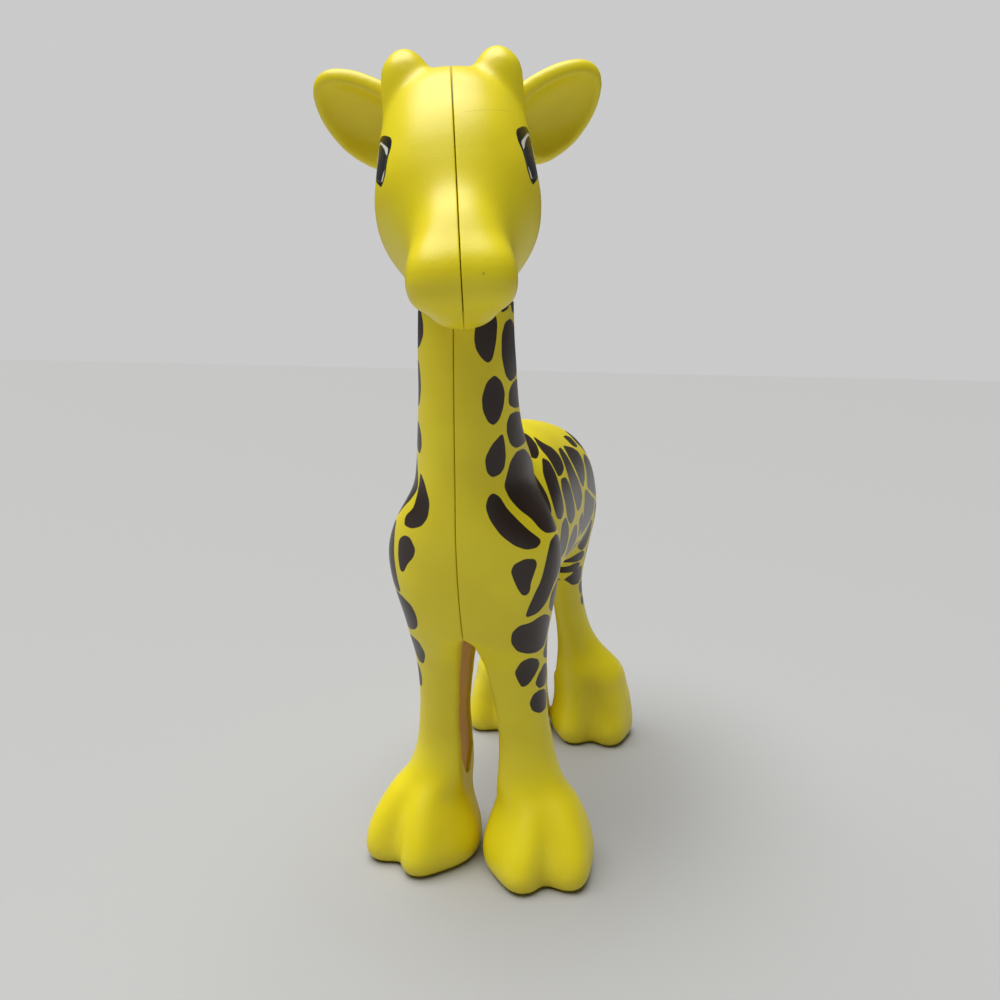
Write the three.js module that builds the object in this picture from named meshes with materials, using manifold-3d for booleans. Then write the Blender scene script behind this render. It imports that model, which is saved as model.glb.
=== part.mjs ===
import * as THREE from "three";
import { mergeVertices } from "three/addons/utils/BufferGeometryUtils.js";
import Module from "manifold-3d";

const wasm = await Module();
wasm.setup();

// A hollow moulded toy giraffe with a head that swivels on its neck.
// Millimetres, +Z up, nose towards -Y, the giraffe's own left is +X.
// Every outer form is a loft through rings, and the same rings drawn in by the wall make the hollow.

// Stance: the feet stand on a square grid of building-brick studs
const footPitch = 16;
const footSpan = 48;

// Limbs, each one skin from the hoof up into the body
const hoofRadius = 7.8;
const limbHeight = 46;
const frontToeOut = 22;
const rearToeOut = 9;
const cleftDepth = 1.1;
const lobeSwell = 1.55;
const cleftFadeHeight = 13;
const socketRadius = 4.75;
const socketDepth = 5.2;
const reliefRadius = 2.2;
const reliefHeight = 10.6;
const hollowStart = 8;
const archGap = 5.5;
const rearArchGap = 3.8;
const ankleHeight = 9.2;
const rearAnkleHeight = 11.4;
const crotchHeight = 34.9;
const rearCrotchHeight = 31;

// Trunk, neck and barrel
const neckTopHeight = 75.6;
const chestDepth = 24;
const shoulderWidth = 22.3;
const backHeight = 60.4;
const bellyHeight = 34.5;
const barrelWidth = 19.2;
const rumpOverhang = 6.2;

// Tail, moulded against the rump
const tailWidth = 2.5;
const tailTopHeight = 55.5;
const tailEndHeight = 36;

// Head
const headLength = 31.2;
const headWidth = 18.1;
const headDepth = 19.6;
const faceSlope = 50;
const headSetback = 3.6;
const headRise = 22.7;
const skullWidth = 17.2;
const skullLength = 15.6;
const skullHeight = 17.6;
const skullRise = 16.6;
const muzzleWidth = 11.5;
const muzzleHeight = 8.2;
const muzzleLength = 8.6;
const muzzleForward = 14;
const muzzleRise = 2.4;
const bridgeSlope = 55;
const bridgeLength = 12;
const bridgeWidth = 10.4;
const bridgeDepth = 7.2;
const bridgeForward = 9.2;
const bridgeRise = 11.1;
const hornSpacing = 10.1;
const hornDiameter = 4.8;
const hornTopRise = 27.5;
const hornLength = 9;
const hornForward = 2;
const collarDiameter = 11;
const collarHeight = 9;
const neckClearance = 1.3;

// Ears
const earLength = 12.4;
const earWidth = 9;
const earThickness = 3.6;
const earCupDepth = 1.7;
const earRim = 1.05;
const earCupDrop = 0.3;
const earReach = 11.4;
const earSkew = 0.6;
const earRise = 22.4;
const earSetback = 3.4;
const earLean = 51;
const earFan = 24;
const earPegRadius = 1.1;
const earPegLength = 5.4;
const earPegSetback = 1;

// Swivel between neck and head
const neckTilt = 11.5;
const headTurn = 17;
const neckAxisForward = 10.8;
const postRadius = 2.2;
const flangeRadius = 3.8;
const flangeThickness = 1.3;
const seatWall = 2;

// Walls and gaps
const wall = 1.6;
const seamGap = 0.3;
const runningGap = 0.3;
const coverRecess = 0.35;
const coverThickness = 1.2;
const coverLip = 0.7;
const coverReach = 3.2;
const overrun = 3;

// Bosses and pins that hold the halves together
const bossRadius = 2.1;
const pinRadius = 1.1;
const pinReach = 3;

// Mesh fineness, in counts
const bodySides = 22;
const limbSides = 18;
const hollowSides = 10;
const tailSides = 8;
const hornSides = 12;
const earSides = 16;
const ballSides = 16;
const roundSides = 16;
const squareness = 2.25;

const plastic = { color: 0xf2d21c, roughness: 0.38, metalness: 0 };
const shade = { color: 0xe6bb12, roughness: 0.42, metalness: 0 };
const dark = { color: 0xb9b4a6, roughness: 0.5, metalness: 0 };

const xAxis = new THREE.Vector3(1, 0, 0);
const yAxis = new THREE.Vector3(0, 1, 0);
const zAxis = new THREE.Vector3(0, 0, 1);

// Solids

function toSolid(geometry) {
  const bare = geometry.clone();
  bare.deleteAttribute("normal");
  bare.deleteAttribute("uv");
  const merged = mergeVertices(bare);
  const vertProperties = new Float32Array(merged.attributes.position.array);
  const triVerts = new Uint32Array(merged.index.array);
  return new wasm.Manifold(new wasm.Mesh({ numProp: 3, vertProperties, triVerts }));
}

function toGeometry(solid) {
  const mesh = solid.getMesh();
  const geometry = new THREE.BufferGeometry();
  geometry.setAttribute("position", new THREE.BufferAttribute(new Float32Array(mesh.vertProperties), 3));
  geometry.setIndex(new THREE.BufferAttribute(new Uint32Array(mesh.triVerts), 1));
  geometry.computeVertexNormals();
  return geometry;
}

function join(solids) {
  return solids.reduce((sum, solid) => sum.add(solid));
}

// Points of one ring: a soft square whose corners fill out as the power grows
function ringPoints(station, sides, swell) {
  const points = [];
  for (let i = 0; i < sides; i++) {
    const angle = (2 * Math.PI * i) / sides;
    const power = 2 / (station.power ?? squareness);
    const c = Math.cos(angle);
    const s = Math.sin(angle);
    const grow = swell ? swell(angle, station) : 1;
    points.push([
      station.side + station.half * grow * Math.sign(c) * Math.abs(c) ** power,
      station.mid + station.deep * grow * Math.sign(s) * Math.abs(s) ** power,
    ]);
  }
  return points;
}

// A closed skin through rings: along runs the stations, across and up span each ring
function loft(stations, { along, across = xAxis, up, origin = new THREE.Vector3(), sides, swell }) {
  const positions = [];
  const place = (station, u, v) => {
    const p = origin.clone().addScaledVector(along, station.at);
    p.addScaledVector(across, u).addScaledVector(up, v);
    positions.push(p.x, p.y, p.z);
  };
  for (const station of stations) {
    for (const [u, v] of ringPoints(station, sides, swell)) {
      place(station, u, v);
    }
  }
  const first = stations[0];
  const last = stations[stations.length - 1];
  place(first, first.side, first.mid);
  place(last, last.side, last.mid);
  const index = [];
  const start = stations.length * sides;
  const lastRing = (stations.length - 1) * sides;
  const turns = new THREE.Vector3().crossVectors(across, up).dot(along) > 0;
  const face = (a, b, c) => index.push(...(turns ? [a, b, c] : [a, c, b]));
  for (let j = 0; j < sides; j++) {
    const k = (j + 1) % sides;
    for (let i = 0; i < stations.length - 1; i++) {
      const a = i * sides;
      face(a + j, a + k, a + sides + k);
      face(a + j, a + sides + k, a + sides + j);
    }
    face(start, k, j);
    face(start + 1, lastRing + j, lastRing + k);
  }
  const geometry = new THREE.BufferGeometry();
  geometry.setAttribute("position", new THREE.Float32BufferAttribute(positions, 3));
  geometry.setIndex(index);
  return toSolid(geometry);
}

// Stations from rows of [along, low, high, half width, side offset]
function stationsFrom(rows, power) {
  return rows.map(([at, low, high, half, side = 0]) => ({
    at,
    mid: (low + high) / 2,
    deep: (high - low) / 2,
    half,
    side,
    power,
  }));
}

// The same stations drawn in by a depth on every side
function drawnIn(stations, depth) {
  if (depth === 0) {
    return stations;
  }
  const roomy = stations.filter((s) => s.half > depth * 1.3 && s.deep > depth * 1.3);
  const moved = roomy.map((s) => ({ ...s, half: s.half - depth, deep: s.deep - depth }));
  moved[0] = { ...moved[0], at: Math.max(moved[0].at, stations[0].at + depth) };
  const end = moved.length - 1;
  moved[end] = { ...moved[end], at: Math.min(moved[end].at, stations[stations.length - 1].at - depth) };
  return moved;
}

function cylinder(radius, low, high, at, direction) {
  const geometry = new THREE.CylinderGeometry(radius, radius, high - low, roundSides);
  geometry.translate(0, (low + high) / 2, 0);
  geometry.applyQuaternion(new THREE.Quaternion().setFromUnitVectors(yAxis, direction));
  geometry.translate(at.x, at.y, at.z);
  return toSolid(geometry);
}

function lathe(profile, at, direction) {
  const points = profile.map(([radius, height]) => new THREE.Vector2(radius, height));
  const geometry = new THREE.LatheGeometry(points, roundSides);
  geometry.applyQuaternion(new THREE.Quaternion().setFromUnitVectors(yAxis, direction));
  geometry.translate(at.x, at.y, at.z);
  return toSolid(geometry);
}

// Half of space beside the seam, as a block large enough for the whole toy
const blockSize = 2 * (neckTopHeight + headRise + footSpan);
function halfSpace(sideSign) {
  const geometry = new THREE.BoxGeometry(blockSize, blockSize, blockSize);
  geometry.translate((sideSign * (blockSize + seamGap)) / 2, 0, 0);
  return toSolid(geometry);
}

// Trunk: rings from the crotch up to the top of the neck
const frontLine = -footSpan / 2;
const rearLine = footSpan / 2;

// height, front and back as shares of chest depth from the front feet line, half width of the shoulders
const trunkShares = [
  [0.45, -0.42, 0.13, 0.82],
  [0.476, -0.45, 0.132, 0.861],
  [0.503, -0.48, 0.12, 0.903],
  [0.529, -0.502, 0.07, 0.939],
  [0.556, -0.523, 0.062, 0.973],
  [0.582, -0.541, 0.083, 0.998],
  [0.608, -0.554, 0.104, 0.995],
  [0.635, -0.568, 0.125, 0.946],
  [0.661, -0.573, 0.13, 0.87],
  [0.688, -0.577, 0.135, 0.758],
  [0.714, -0.581, 0.14, 0.664],
  [0.754, -0.588, 0.13, 0.622],
  [0.794, -0.596, -0.004, 0.577],
  [0.833, -0.602, -0.079, 0.547],
  [0.873, -0.608, -0.117, 0.529],
  [0.913, -0.613, -0.154, 0.524],
  [0.952, -0.617, -0.188, 0.514],
  [0.992, -0.619, -0.202, 0.506],
  [1.04, -0.621, -0.21, 0.5],
];
const trunkRows = trunkShares.map(([height, front, back, half]) => [
  height * neckTopHeight,
  frontLine + front * chestDepth,
  frontLine + back * chestDepth,
  (half * shoulderWidth) / 2,
]);
const trunkStations = stationsFrom(trunkRows);

// Barrel: rings from inside the chest back to the rump
// place as a share of the foot span or the rump reach, low and high of the back span, half width
const barrelShares = [
  [-0.6, 0.42, 0.66, 0.4],
  [-0.5, 0.1, 0.9, 0.86],
  [-0.34, 0, 1, 1],
  [-0.16, 0, 0.995, 1],
  [0, 0.01, 0.97, 0.98],
  [0.26, 0, 0.93, 0.94],
  [0.49, -0.02, 0.884, 0.877],
  [0.66, -0.02, 0.835, 0.79],
  [0.8, 0.03, 0.76, 0.67],
  [0.91, 0.13, 0.65, 0.5],
  [0.97, 0.24, 0.54, 0.32],
  [1, 0.33, 0.44, 0.12],
];
const barrelReach = rearLine + rumpOverhang;
const backSpan = backHeight - bellyHeight;
const barrelRows = barrelShares.map(([place, low, high, half]) => [
  place * (place > 0 ? barrelReach : footSpan),
  bellyHeight + low * backSpan,
  bellyHeight + high * backSpan,
  (half * barrelWidth) / 2,
]);
const barrelStations = stationsFrom(barrelRows, 2);

// Limbs: height as a share of limb height, then side, place from the feet line, half width
// and half depth as shares of the hoof radius
const frontLimbShares = [
  [0, 1.03, -0.01, 0.87, 0.87],
  [0.015, 1.028, -0.03, 0.94, 0.935],
  [0.043, 1.026, -0.038, 0.985, 0.975],
  [0.087, 1.026, -0.02, 0.98, 0.95],
  [0.13, 1.026, -0.006, 0.917, 0.88],
  [0.174, 1.013, 0.02, 0.82, 0.79],
  [0.217, 0.96, 0.058, 0.72, 0.7],
  [0.261, 0.8, 0.09, 0.66, 0.61],
  [0.304, 0.72, 0.11, 0.625, 0.56],
  [0.348, 0.69, 0.1, 0.58, 0.52],
  [0.391, 0.67, 0.065, 0.56, 0.49],
  [0.435, 0.645, 0, 0.55, 0.475],
  [0.478, 0.615, -0.058, 0.545, 0.475],
  [0.522, 0.6, -0.103, 0.541, 0.5],
  [0.587, 0.551, -0.18, 0.584, 0.55],
  [0.63, 0.506, -0.224, 0.641, 0.6],
  [0.674, 0.468, -0.3, 0.692, 0.66],
  [0.717, 0.41, -0.42, 0.769, 0.73],
  [0.783, 0.423, -0.52, 0.808, 0.81],
  [0.87, 0.538, -0.64, 0.795, 0.85],
  [0.957, 0.59, -0.69, 0.78, 0.86],
  [1, 0.59, -0.69, 0.7, 0.76],
];
const rearLimbShares = [
  [0, 1.006, -0.21, 0.87, 0.85],
  [0.015, 1.006, -0.225, 0.93, 0.91],
  [0.043, 1.006, -0.23, 0.981, 0.955],
  [0.087, 1.006, -0.22, 0.968, 0.94],
  [0.13, 1.006, -0.22, 0.923, 0.9],
  [0.174, 0.994, -0.24, 0.895, 0.87],
  [0.217, 0.949, -0.275, 0.86, 0.85],
  [0.261, 0.93, -0.33, 0.84, 0.84],
  [0.304, 0.865, -0.38, 0.765, 0.76],
  [0.348, 0.775, -0.44, 0.61, 0.6],
  [0.391, 0.67, -0.52, 0.505, 0.51],
  [0.465, 0.55, -0.64, 0.405, 0.48],
  [0.543, 0.462, -0.71, 0.366, 0.53],
  [0.652, 0.385, -0.79, 0.372, 0.66],
  [0.739, 0.397, -0.81, 0.436, 0.82],
  [0.826, 0.436, -0.81, 0.5, 0.95],
  [0.913, 0.487, -0.79, 0.538, 1],
  [1, 0.487, -0.77, 0.538, 0.9],
];
function limbStations(limb) {
  return limb.shares.map(([height, side, place, half, deep]) => ({
    at: height * limbHeight,
    side: limb.side * side * hoofRadius,
    mid: limb.line + place * hoofRadius,
    half: half * hoofRadius,
    deep: deep * hoofRadius,
    power: 2,
  }));
}
const limbs = [
  { line: frontLine, side: 1, shares: frontLimbShares, toe: frontToeOut },
  { line: frontLine, side: -1, shares: frontLimbShares, toe: frontToeOut },
  { line: rearLine, side: 1, shares: rearLimbShares, toe: rearToeOut },
  { line: rearLine, side: -1, shares: rearLimbShares, toe: rearToeOut },
];

// Two toe lobes with a cleft between them, fading out up the hoof
const cleftSpread = 0.24;
const lobePlace = 0.5;
const lobeSpread = 0.36;
function hoofSwell(limb) {
  const toward = -Math.PI / 2 + limb.side * THREE.MathUtils.degToRad(limb.toe);
  return (angle, station) => {
    const off = Math.abs(Math.atan2(Math.sin(angle - toward), Math.cos(angle - toward)));
    const cleft = cleftDepth * Math.exp(-((off / cleftSpread) ** 2));
    const lobe = lobeSwell * Math.exp(-(((off - lobePlace) / lobeSpread) ** 2));
    const fade = Math.max(0, 1 - (station.at / cleftFadeHeight) ** 2);
    return 1 + (fade * (lobe - cleft)) / hoofRadius;
  };
}

// Tail: rings from the tuft up to the root, part of the rump's skin
// height, front and back as shares of rump overhang behind the rear feet line, half width
const tailShares = [
  [0, 0.78, 1.02, 0.5],
  [0.07, 0.6, 1.18, 1.2],
  [0.16, 0.6, 1.24, 1.45],
  [0.28, 0.6, 1.24, 1.2],
  [0.42, 0.6, 1.22, 0.9],
  [0.58, 0.5, 1.16, 0.9],
  [0.74, 0.3, 0.98, 0.95],
  [0.88, 0.05, 0.68, 1],
  [1, -0.3, 0.2, 0.8],
];
const tailRows = tailShares.map(([height, front, back, half]) => [
  tailEndHeight + height * (tailTopHeight - tailEndHeight),
  rearLine + front * rumpOverhang,
  rearLine + back * rumpOverhang,
  (half * tailWidth) / 2,
]);

// The whole skin, drawn in by a depth: nought for the outside, the wall for the hollow
function bodySkin(depth) {
  const outside = depth === 0;
  const sides = outside ? bodySides : hollowSides;
  const parts = [
    loft(drawnIn(trunkStations, depth), { along: zAxis, up: yAxis, sides }),
    loft(drawnIn(barrelStations, depth), { along: yAxis, up: zAxis, sides }),
  ];
  for (const limb of limbs) {
    const all = limbStations(limb);
    const rings = outside ? all : drawnIn(all.filter((ring) => ring.at > hollowStart), depth);
    const swell = outside ? hoofSwell(limb) : undefined;
    parts.push(loft(rings, { along: zAxis, up: yAxis, sides: outside ? limbSides : hollowSides, swell }));
  }
  if (outside) {
    parts.push(loft(stationsFrom(tailRows), { along: zAxis, up: yAxis, sides: tailSides }));
  }
  return join(parts);
}

// Arch between two legs, cut right through along Y: half gap at heights between ankle and crotch
const archShares = [
  [0, 0.8],
  [0.16, 0.93],
  [0.42, 1],
  [0.52, 0.95],
  [0.63, 0.84],
  [0.74, 0.74],
  [0.84, 0.6],
  [0.91, 0.47],
  [0.965, 0.33],
  [1, 0],
];
const arches = [
  {
    name: "front_leg_inner_cover",
    gap: archGap,
    foot: ankleHeight,
    line: frontLine,
    top: crotchHeight,
    shares: frontLimbShares,
  },
  {
    name: "rear_leg_inner_cover",
    gap: rearArchGap,
    line: rearLine,
    foot: rearAnkleHeight,
    top: rearCrotchHeight,
    shares: rearLimbShares,
  },
];
function archBlock(arch, growth) {
  const right = archShares.map(([height, half]) => [
    half === 0 ? 0 : (half * arch.gap) / 2 + growth,
    arch.foot + height * (arch.top - arch.foot) + (half === 0 ? growth * 1.6 : 0),
  ]);
  const left = right.slice(0, -1).reverse().map(([x, z]) => [-x, z]);
  const shape = new THREE.Shape([...right, ...left].map(([x, z]) => new THREE.Vector2(x, z)));
  const depth = footSpan * 0.9;
  const geometry = new THREE.ExtrudeGeometry(shape, { depth, bevelEnabled: false });
  geometry.rotateX(Math.PI / 2);
  geometry.translate(0, arch.line + depth / 2, 0);
  return toSolid(geometry);
}

// Side outline of a cover: the flat of the leg's inner face less a lip, seen along X
function coverOutline(arch, growth) {
  const rings = limbStations({ side: 1, line: arch.line, shares: arch.shares });
  const lowest = arch.foot + coverLip * 2;
  const within = rings.filter((ring) => ring.at > lowest && ring.at < arch.top - coverLip);
  const rows = within.map((ring) => {
    const height = (ring.at - arch.foot) / (arch.top - arch.foot);
    const after = archShares.findIndex(([share]) => share >= height);
    const [low, high] = [archShares[after - 1], archShares[after]];
    const half = low[1] + ((high[1] - low[1]) * (height - low[0])) / (high[0] - low[0]);
    const off = Math.min(0.94, (ring.side - (half * arch.gap) / 2) / ring.half);
    const chord = Math.min(ring.deep * Math.sqrt(1 - off * off) - coverLip, coverReach);
    return [ring.at, ring.mid, chord + growth];
  });
  const end = rows[rows.length - 1];
  rows.push([arch.top + coverRecess + coverThickness + overrun, end[1], end[2]]);
  rows[0][0] -= growth;
  const front = rows.map(([z, y, chord]) => [y - chord, z]);
  const back = rows.map(([z, y, chord]) => [y + chord, z]).reverse();
  const shape = new THREE.Shape([...front, ...back].map(([y, z]) => new THREE.Vector2(y, z)));
  const geometry = new THREE.ExtrudeGeometry(shape, { depth: footPitch, bevelEnabled: false });
  geometry.applyMatrix4(new THREE.Matrix4().makeBasis(yAxis, zAxis, xAxis));
  geometry.translate(-footPitch / 2, 0, 0);
  return toSolid(geometry);
}

// Stud socket under a foot, with a narrower relief up into the hollow leg
function socket(limb) {
  const profile = [
    [0, -overrun],
    [socketRadius, -overrun],
    [socketRadius, socketDepth],
    [reliefRadius, socketDepth],
    [reliefRadius, reliefHeight],
    [0, reliefHeight],
  ];
  return lathe(profile, new THREE.Vector3((limb.side * footPitch) / 2, limb.line, 0), zAxis);
}

// Swivel axis: through the top of the neck, tilted forward
const tilt = THREE.MathUtils.degToRad(neckTilt);
const swivelAxis = new THREE.Vector3(0, -Math.sin(tilt), Math.cos(tilt));
const swivelPoint = new THREE.Vector3(0, frontLine - neckAxisForward, neckTopHeight);

// Everything above the neck's top face, seen from the swivel point
const aboveNeck = cylinder(blockSize / 2, 0, blockSize, swivelPoint, swivelAxis);
const lowerPocket = cylinder(
  flangeRadius + runningGap,
  -seatWall - flangeThickness - 2 * runningGap,
  -seatWall,
  swivelPoint,
  swivelAxis,
);
const tunnelTop = cylinder(
  postRadius + runningGap,
  -seatWall - flangeThickness - overrun,
  overrun,
  swivelPoint,
  swivelAxis,
);

// Body halves
const bosses = [
  { y: frontLine - 0.27 * chestDepth, z: 0.62 * neckTopHeight, reach: pinReach },
  { y: 0, z: bellyHeight + 0.55 * backSpan, reach: pinReach },
  { y: rearLine * 0.72, z: bellyHeight + 0.42 * backSpan, reach: pinReach },
  { y: frontLine - 0.36 * chestDepth, z: 0.85 * neckTopHeight, reach: pinReach / 1.5 },
];
function bossPost(place, radius, low, high, sideSign) {
  const at = new THREE.Vector3(0, place.y, place.z);
  return cylinder(radius, low, high, at, xAxis.clone().multiplyScalar(sideSign));
}

function buildBody() {
  let skin = bodySkin(0).subtract(aboveNeck);
  for (const arch of arches) {
    skin = skin.subtract(archBlock(arch, 0));
  }
  const neckCap = cylinder(blockSize / 2, -seatWall, blockSize, swivelPoint, swivelAxis);
  const hollow = bodySkin(wall).subtract(neckCap);
  let shell = skin.subtract(hollow).subtract(lowerPocket).subtract(tunnelTop);
  for (const limb of limbs) {
    shell = shell.subtract(socket(limb));
  }
  for (const arch of arches) {
    const channel = archBlock(arch, coverRecess + coverThickness + runningGap);
    shell = shell.subtract(channel.intersect(coverOutline(arch, runningGap)));
  }
  const halves = {};
  for (const sideSign of [1, -1]) {
    let half = shell.intersect(halfSpace(sideSign));
    for (const place of bosses) {
      const boss = bossPost(place, bossRadius, seamGap / 2, shoulderWidth / 2, sideSign).intersect(skin);
      half = half.add(boss);
      if (sideSign > 0) {
        half = half.subtract(bossPost(place, pinRadius + runningGap, -overrun, place.reach + runningGap, 1));
      } else {
        half = half.add(bossPost(place, pinRadius, -place.reach, place.reach, 1));
      }
    }
    halves[sideSign] = half;
  }
  const covers = arches.map((arch) => {
    const band = archBlock(arch, coverRecess + coverThickness).subtract(archBlock(arch, coverRecess));
    return band.intersect(coverOutline(arch, 0));
  });
  return { halves, covers };
}

// Head, built facing -Y about the swivel point and turned as a whole
const slope = THREE.MathUtils.degToRad(faceSlope);
const faceAlong = new THREE.Vector3(0, -Math.cos(slope), -Math.sin(slope));
const faceUp = new THREE.Vector3(0, -Math.sin(slope), Math.cos(slope));
const faceOrigin = new THREE.Vector3(0, headSetback, headRise);

// along the face, under and over as shares of head depth, half width of the head
const headShares = [
  [0, -0.02, 0.12, 0.22],
  [0.025, -0.14, 0.235, 0.5],
  [0.08, -0.27, 0.35, 0.74],
  [0.17, -0.42, 0.42, 0.88],
  [0.28, -0.53, 0.43, 0.95],
  [0.4, -0.6, 0.42, 0.985],
  [0.51, -0.61, 0.37, 1],
  [0.61, -0.56, 0.3, 0.85],
  [0.7, -0.49, 0.245, 0.67],
  [0.78, -0.41, 0.215, 0.55],
  [0.86, -0.34, 0.19, 0.52],
  [0.93, -0.27, 0.12, 0.42],
  [0.975, -0.19, 0.05, 0.3],
  [1, -0.12, -0.02, 0.15],
];
const headRows = headShares.map(([place, under, over, half]) => [
  place * headLength,
  under * headDepth,
  over * headDepth,
  (half * headWidth) / 2,
]);
const headStations = stationsFrom(headRows);
function ball(radii, at) {
  const geometry = new THREE.SphereGeometry(1, ballSides, ballSides / 2);
  geometry.scale(...radii);
  geometry.translate(...at);
  return toSolid(geometry);
}
function headSkin(depth) {
  const stations = drawnIn(headStations, depth);
  const face = loft(stations, { along: faceAlong, up: faceUp, origin: faceOrigin, sides: bodySides });
  const collar = cylinder(
    collarDiameter / 2 - depth,
    depth > 0 ? seatWall : runningGap,
    collarHeight,
    new THREE.Vector3(),
    swivelAxis,
  );
  const radii = [skullWidth, skullLength, skullHeight].map((across) => across / 2 - depth);
  const skull = ball(radii, [0, 0, skullRise]);
  return join([face, collar, skull]);
}

// Muzzle: a wide soft loaf from cheek to cheek
// place across as a share of half the muzzle's width, girth as a share of its middle
const muzzleShares = [
  [-1, 0.12],
  [-0.985, 0.36],
  [-0.93, 0.6],
  [-0.83, 0.78],
  [-0.68, 0.9],
  [-0.48, 0.98],
  [-0.25, 1],
  [0, 0.985],
  [0.25, 1],
  [0.48, 0.98],
  [0.68, 0.9],
  [0.83, 0.78],
  [0.93, 0.6],
  [0.985, 0.36],
  [1, 0.12],
];
function muzzle() {
  const stations = muzzleShares.map(([place, girth]) => ({
    at: (place * muzzleWidth) / 2,
    side: -muzzleForward,
    half: (girth * muzzleLength) / 2,
    mid: muzzleRise,
    deep: (girth * muzzleHeight) / 2,
    power: squareness,
  }));
  return loft(stations, { along: xAxis, across: yAxis, up: zAxis, sides: ballSides });
}

// Nose bridge: widens from between the eyes down into the muzzle
// place as a share of its length, under and over as shares of its depth, half as a share of half its width
const bridgeShares = [
  [-0.25, -0.3, 0.17, 0.22],
  [0, -0.45, 0.44, 0.46],
  [0.25, -0.5, 0.5, 0.68],
  [0.5, -0.5, 0.53, 0.88],
  [0.7, -0.5, 0.46, 1],
  [0.87, -0.45, 0.33, 0.98],
  [1, -0.3, 0.12, 0.72],
];

function bridge() {
  const slope = THREE.MathUtils.degToRad(bridgeSlope);
  const rows = bridgeShares.map(([place, under, over, half]) => [
    place * bridgeLength,
    under * bridgeDepth,
    over * bridgeDepth,
    (half * bridgeWidth) / 2,
  ]);
  return loft(stationsFrom(rows), {
    along: new THREE.Vector3(0, -Math.cos(slope), -Math.sin(slope)),
    up: new THREE.Vector3(0, -Math.sin(slope), Math.cos(slope)),
    origin: new THREE.Vector3(0, -bridgeForward, bridgeRise),
    sides: ballSides,
  });
}

// drop below the tip as a share of the horn's length, radius as a share of the knob's
const hornShares = [
  [1.3, 1.12],
  [0.9, 1.16],
  [0.6, 1.18],
  [0.4, 1.18],
  [0.27, 1.13],
  [0.2, 1.06],
  [0.13, 0.86],
  [0.05, 0.58],
  [0, 0.25],
];
function horn(sideSign, grow) {
  const stations = hornShares.map(([drop, radius]) => ({
    at: hornTopRise - drop * hornLength,
    mid: -hornForward,
    deep: (radius * hornDiameter) / 2 + grow,
    half: (radius * hornDiameter) / 2 + grow,
    side: (sideSign * hornSpacing) / 2,
    power: 2,
  }));
  return loft(stations, { along: zAxis, up: yAxis, sides: hornSides });
}

const headBosses = [
  { y: -0.14 * headWidth, z: 0.72 * headRise },
  { y: -0.53 * headWidth, z: 0.28 * headRise },
];

function earFrame(sideSign) {
  const lean = THREE.MathUtils.degToRad(earLean);
  const fan = THREE.MathUtils.degToRad(earFan);
  const long = new THREE.Vector3(sideSign * Math.sin(lean), 0, Math.cos(lean));
  const out = new THREE.Vector3(sideSign * Math.cos(fan), Math.sin(fan), 0);
  const front = new THREE.Vector3().crossVectors(out, long).normalize();
  if (front.y > 0) {
    front.negate();
  }
  const wide = new THREE.Vector3().crossVectors(front, long).multiplyScalar(-sideSign);
  const middle = new THREE.Vector3(sideSign * earReach + earSkew, earSetback, earRise);
  return { long, front, wide, middle };
}

// along the ear, its edge towards the head and away from it, thickness
const earShares = [
  [-0.56, 0.32, 0.5, 0.3],
  [-0.5, 0.66, 0.8, 0.62],
  [-0.4, 0.98, 1, 0.88],
  [-0.24, 1.12, 1.12, 1],
  [-0.06, 1.07, 1.15, 1],
  [0.1, 0.95, 1.06, 1],
  [0.24, 0.8, 0.91, 0.94],
  [0.36, 0.6, 0.69, 0.8],
  [0.44, 0.41, 0.47, 0.62],
  [0.48, 0.24, 0.28, 0.44],
  [0.5, 0.1, 0.1, 0.24],
];
function ear(sideSign) {
  const { long, front, wide, middle } = earFrame(sideSign);
  const stations = earShares.map(([place, inner, outer, thick]) => ({
    at: place * earLength,
    mid: 0,
    deep: (thick * earThickness) / 2,
    half: ((inner + outer) * earWidth) / 4,
    side: ((outer - inner) * earWidth) / 4,
    power: 2,
  }));
  const solid = loft(stations, { along: long, across: wide, up: front, origin: middle, sides: earSides });
  const cupStations = stations.map((s) => ({
    ...s,
    at: s.at * (1 - (2 * earRim) / earLength),
    half: s.half * (1 - (2 * earRim) / earWidth),
    deep: earCupDepth * (s.half / (earWidth / 2)),
    mid: earThickness / 2,
    side: s.side + earCupDrop,
  }));
  const cup = loft(cupStations, { along: long, across: wide, up: front, origin: middle, sides: earSides });
  return solid.subtract(cup);
}

function earPeg(sideSign, radius, grow) {
  const { middle, front } = earFrame(sideSign);
  const root = new THREE.Vector3(sideSign * (headWidth / 2 - wall), middle.y, middle.z - 0.08 * earLength);
  root.addScaledVector(front, -earPegSetback);
  const outward = new THREE.Vector3(sideSign, 0, 0);
  return cylinder(radius, -earPegLength / 2 + wall - grow, earPegLength / 2 + grow, root, outward);
}

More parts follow.
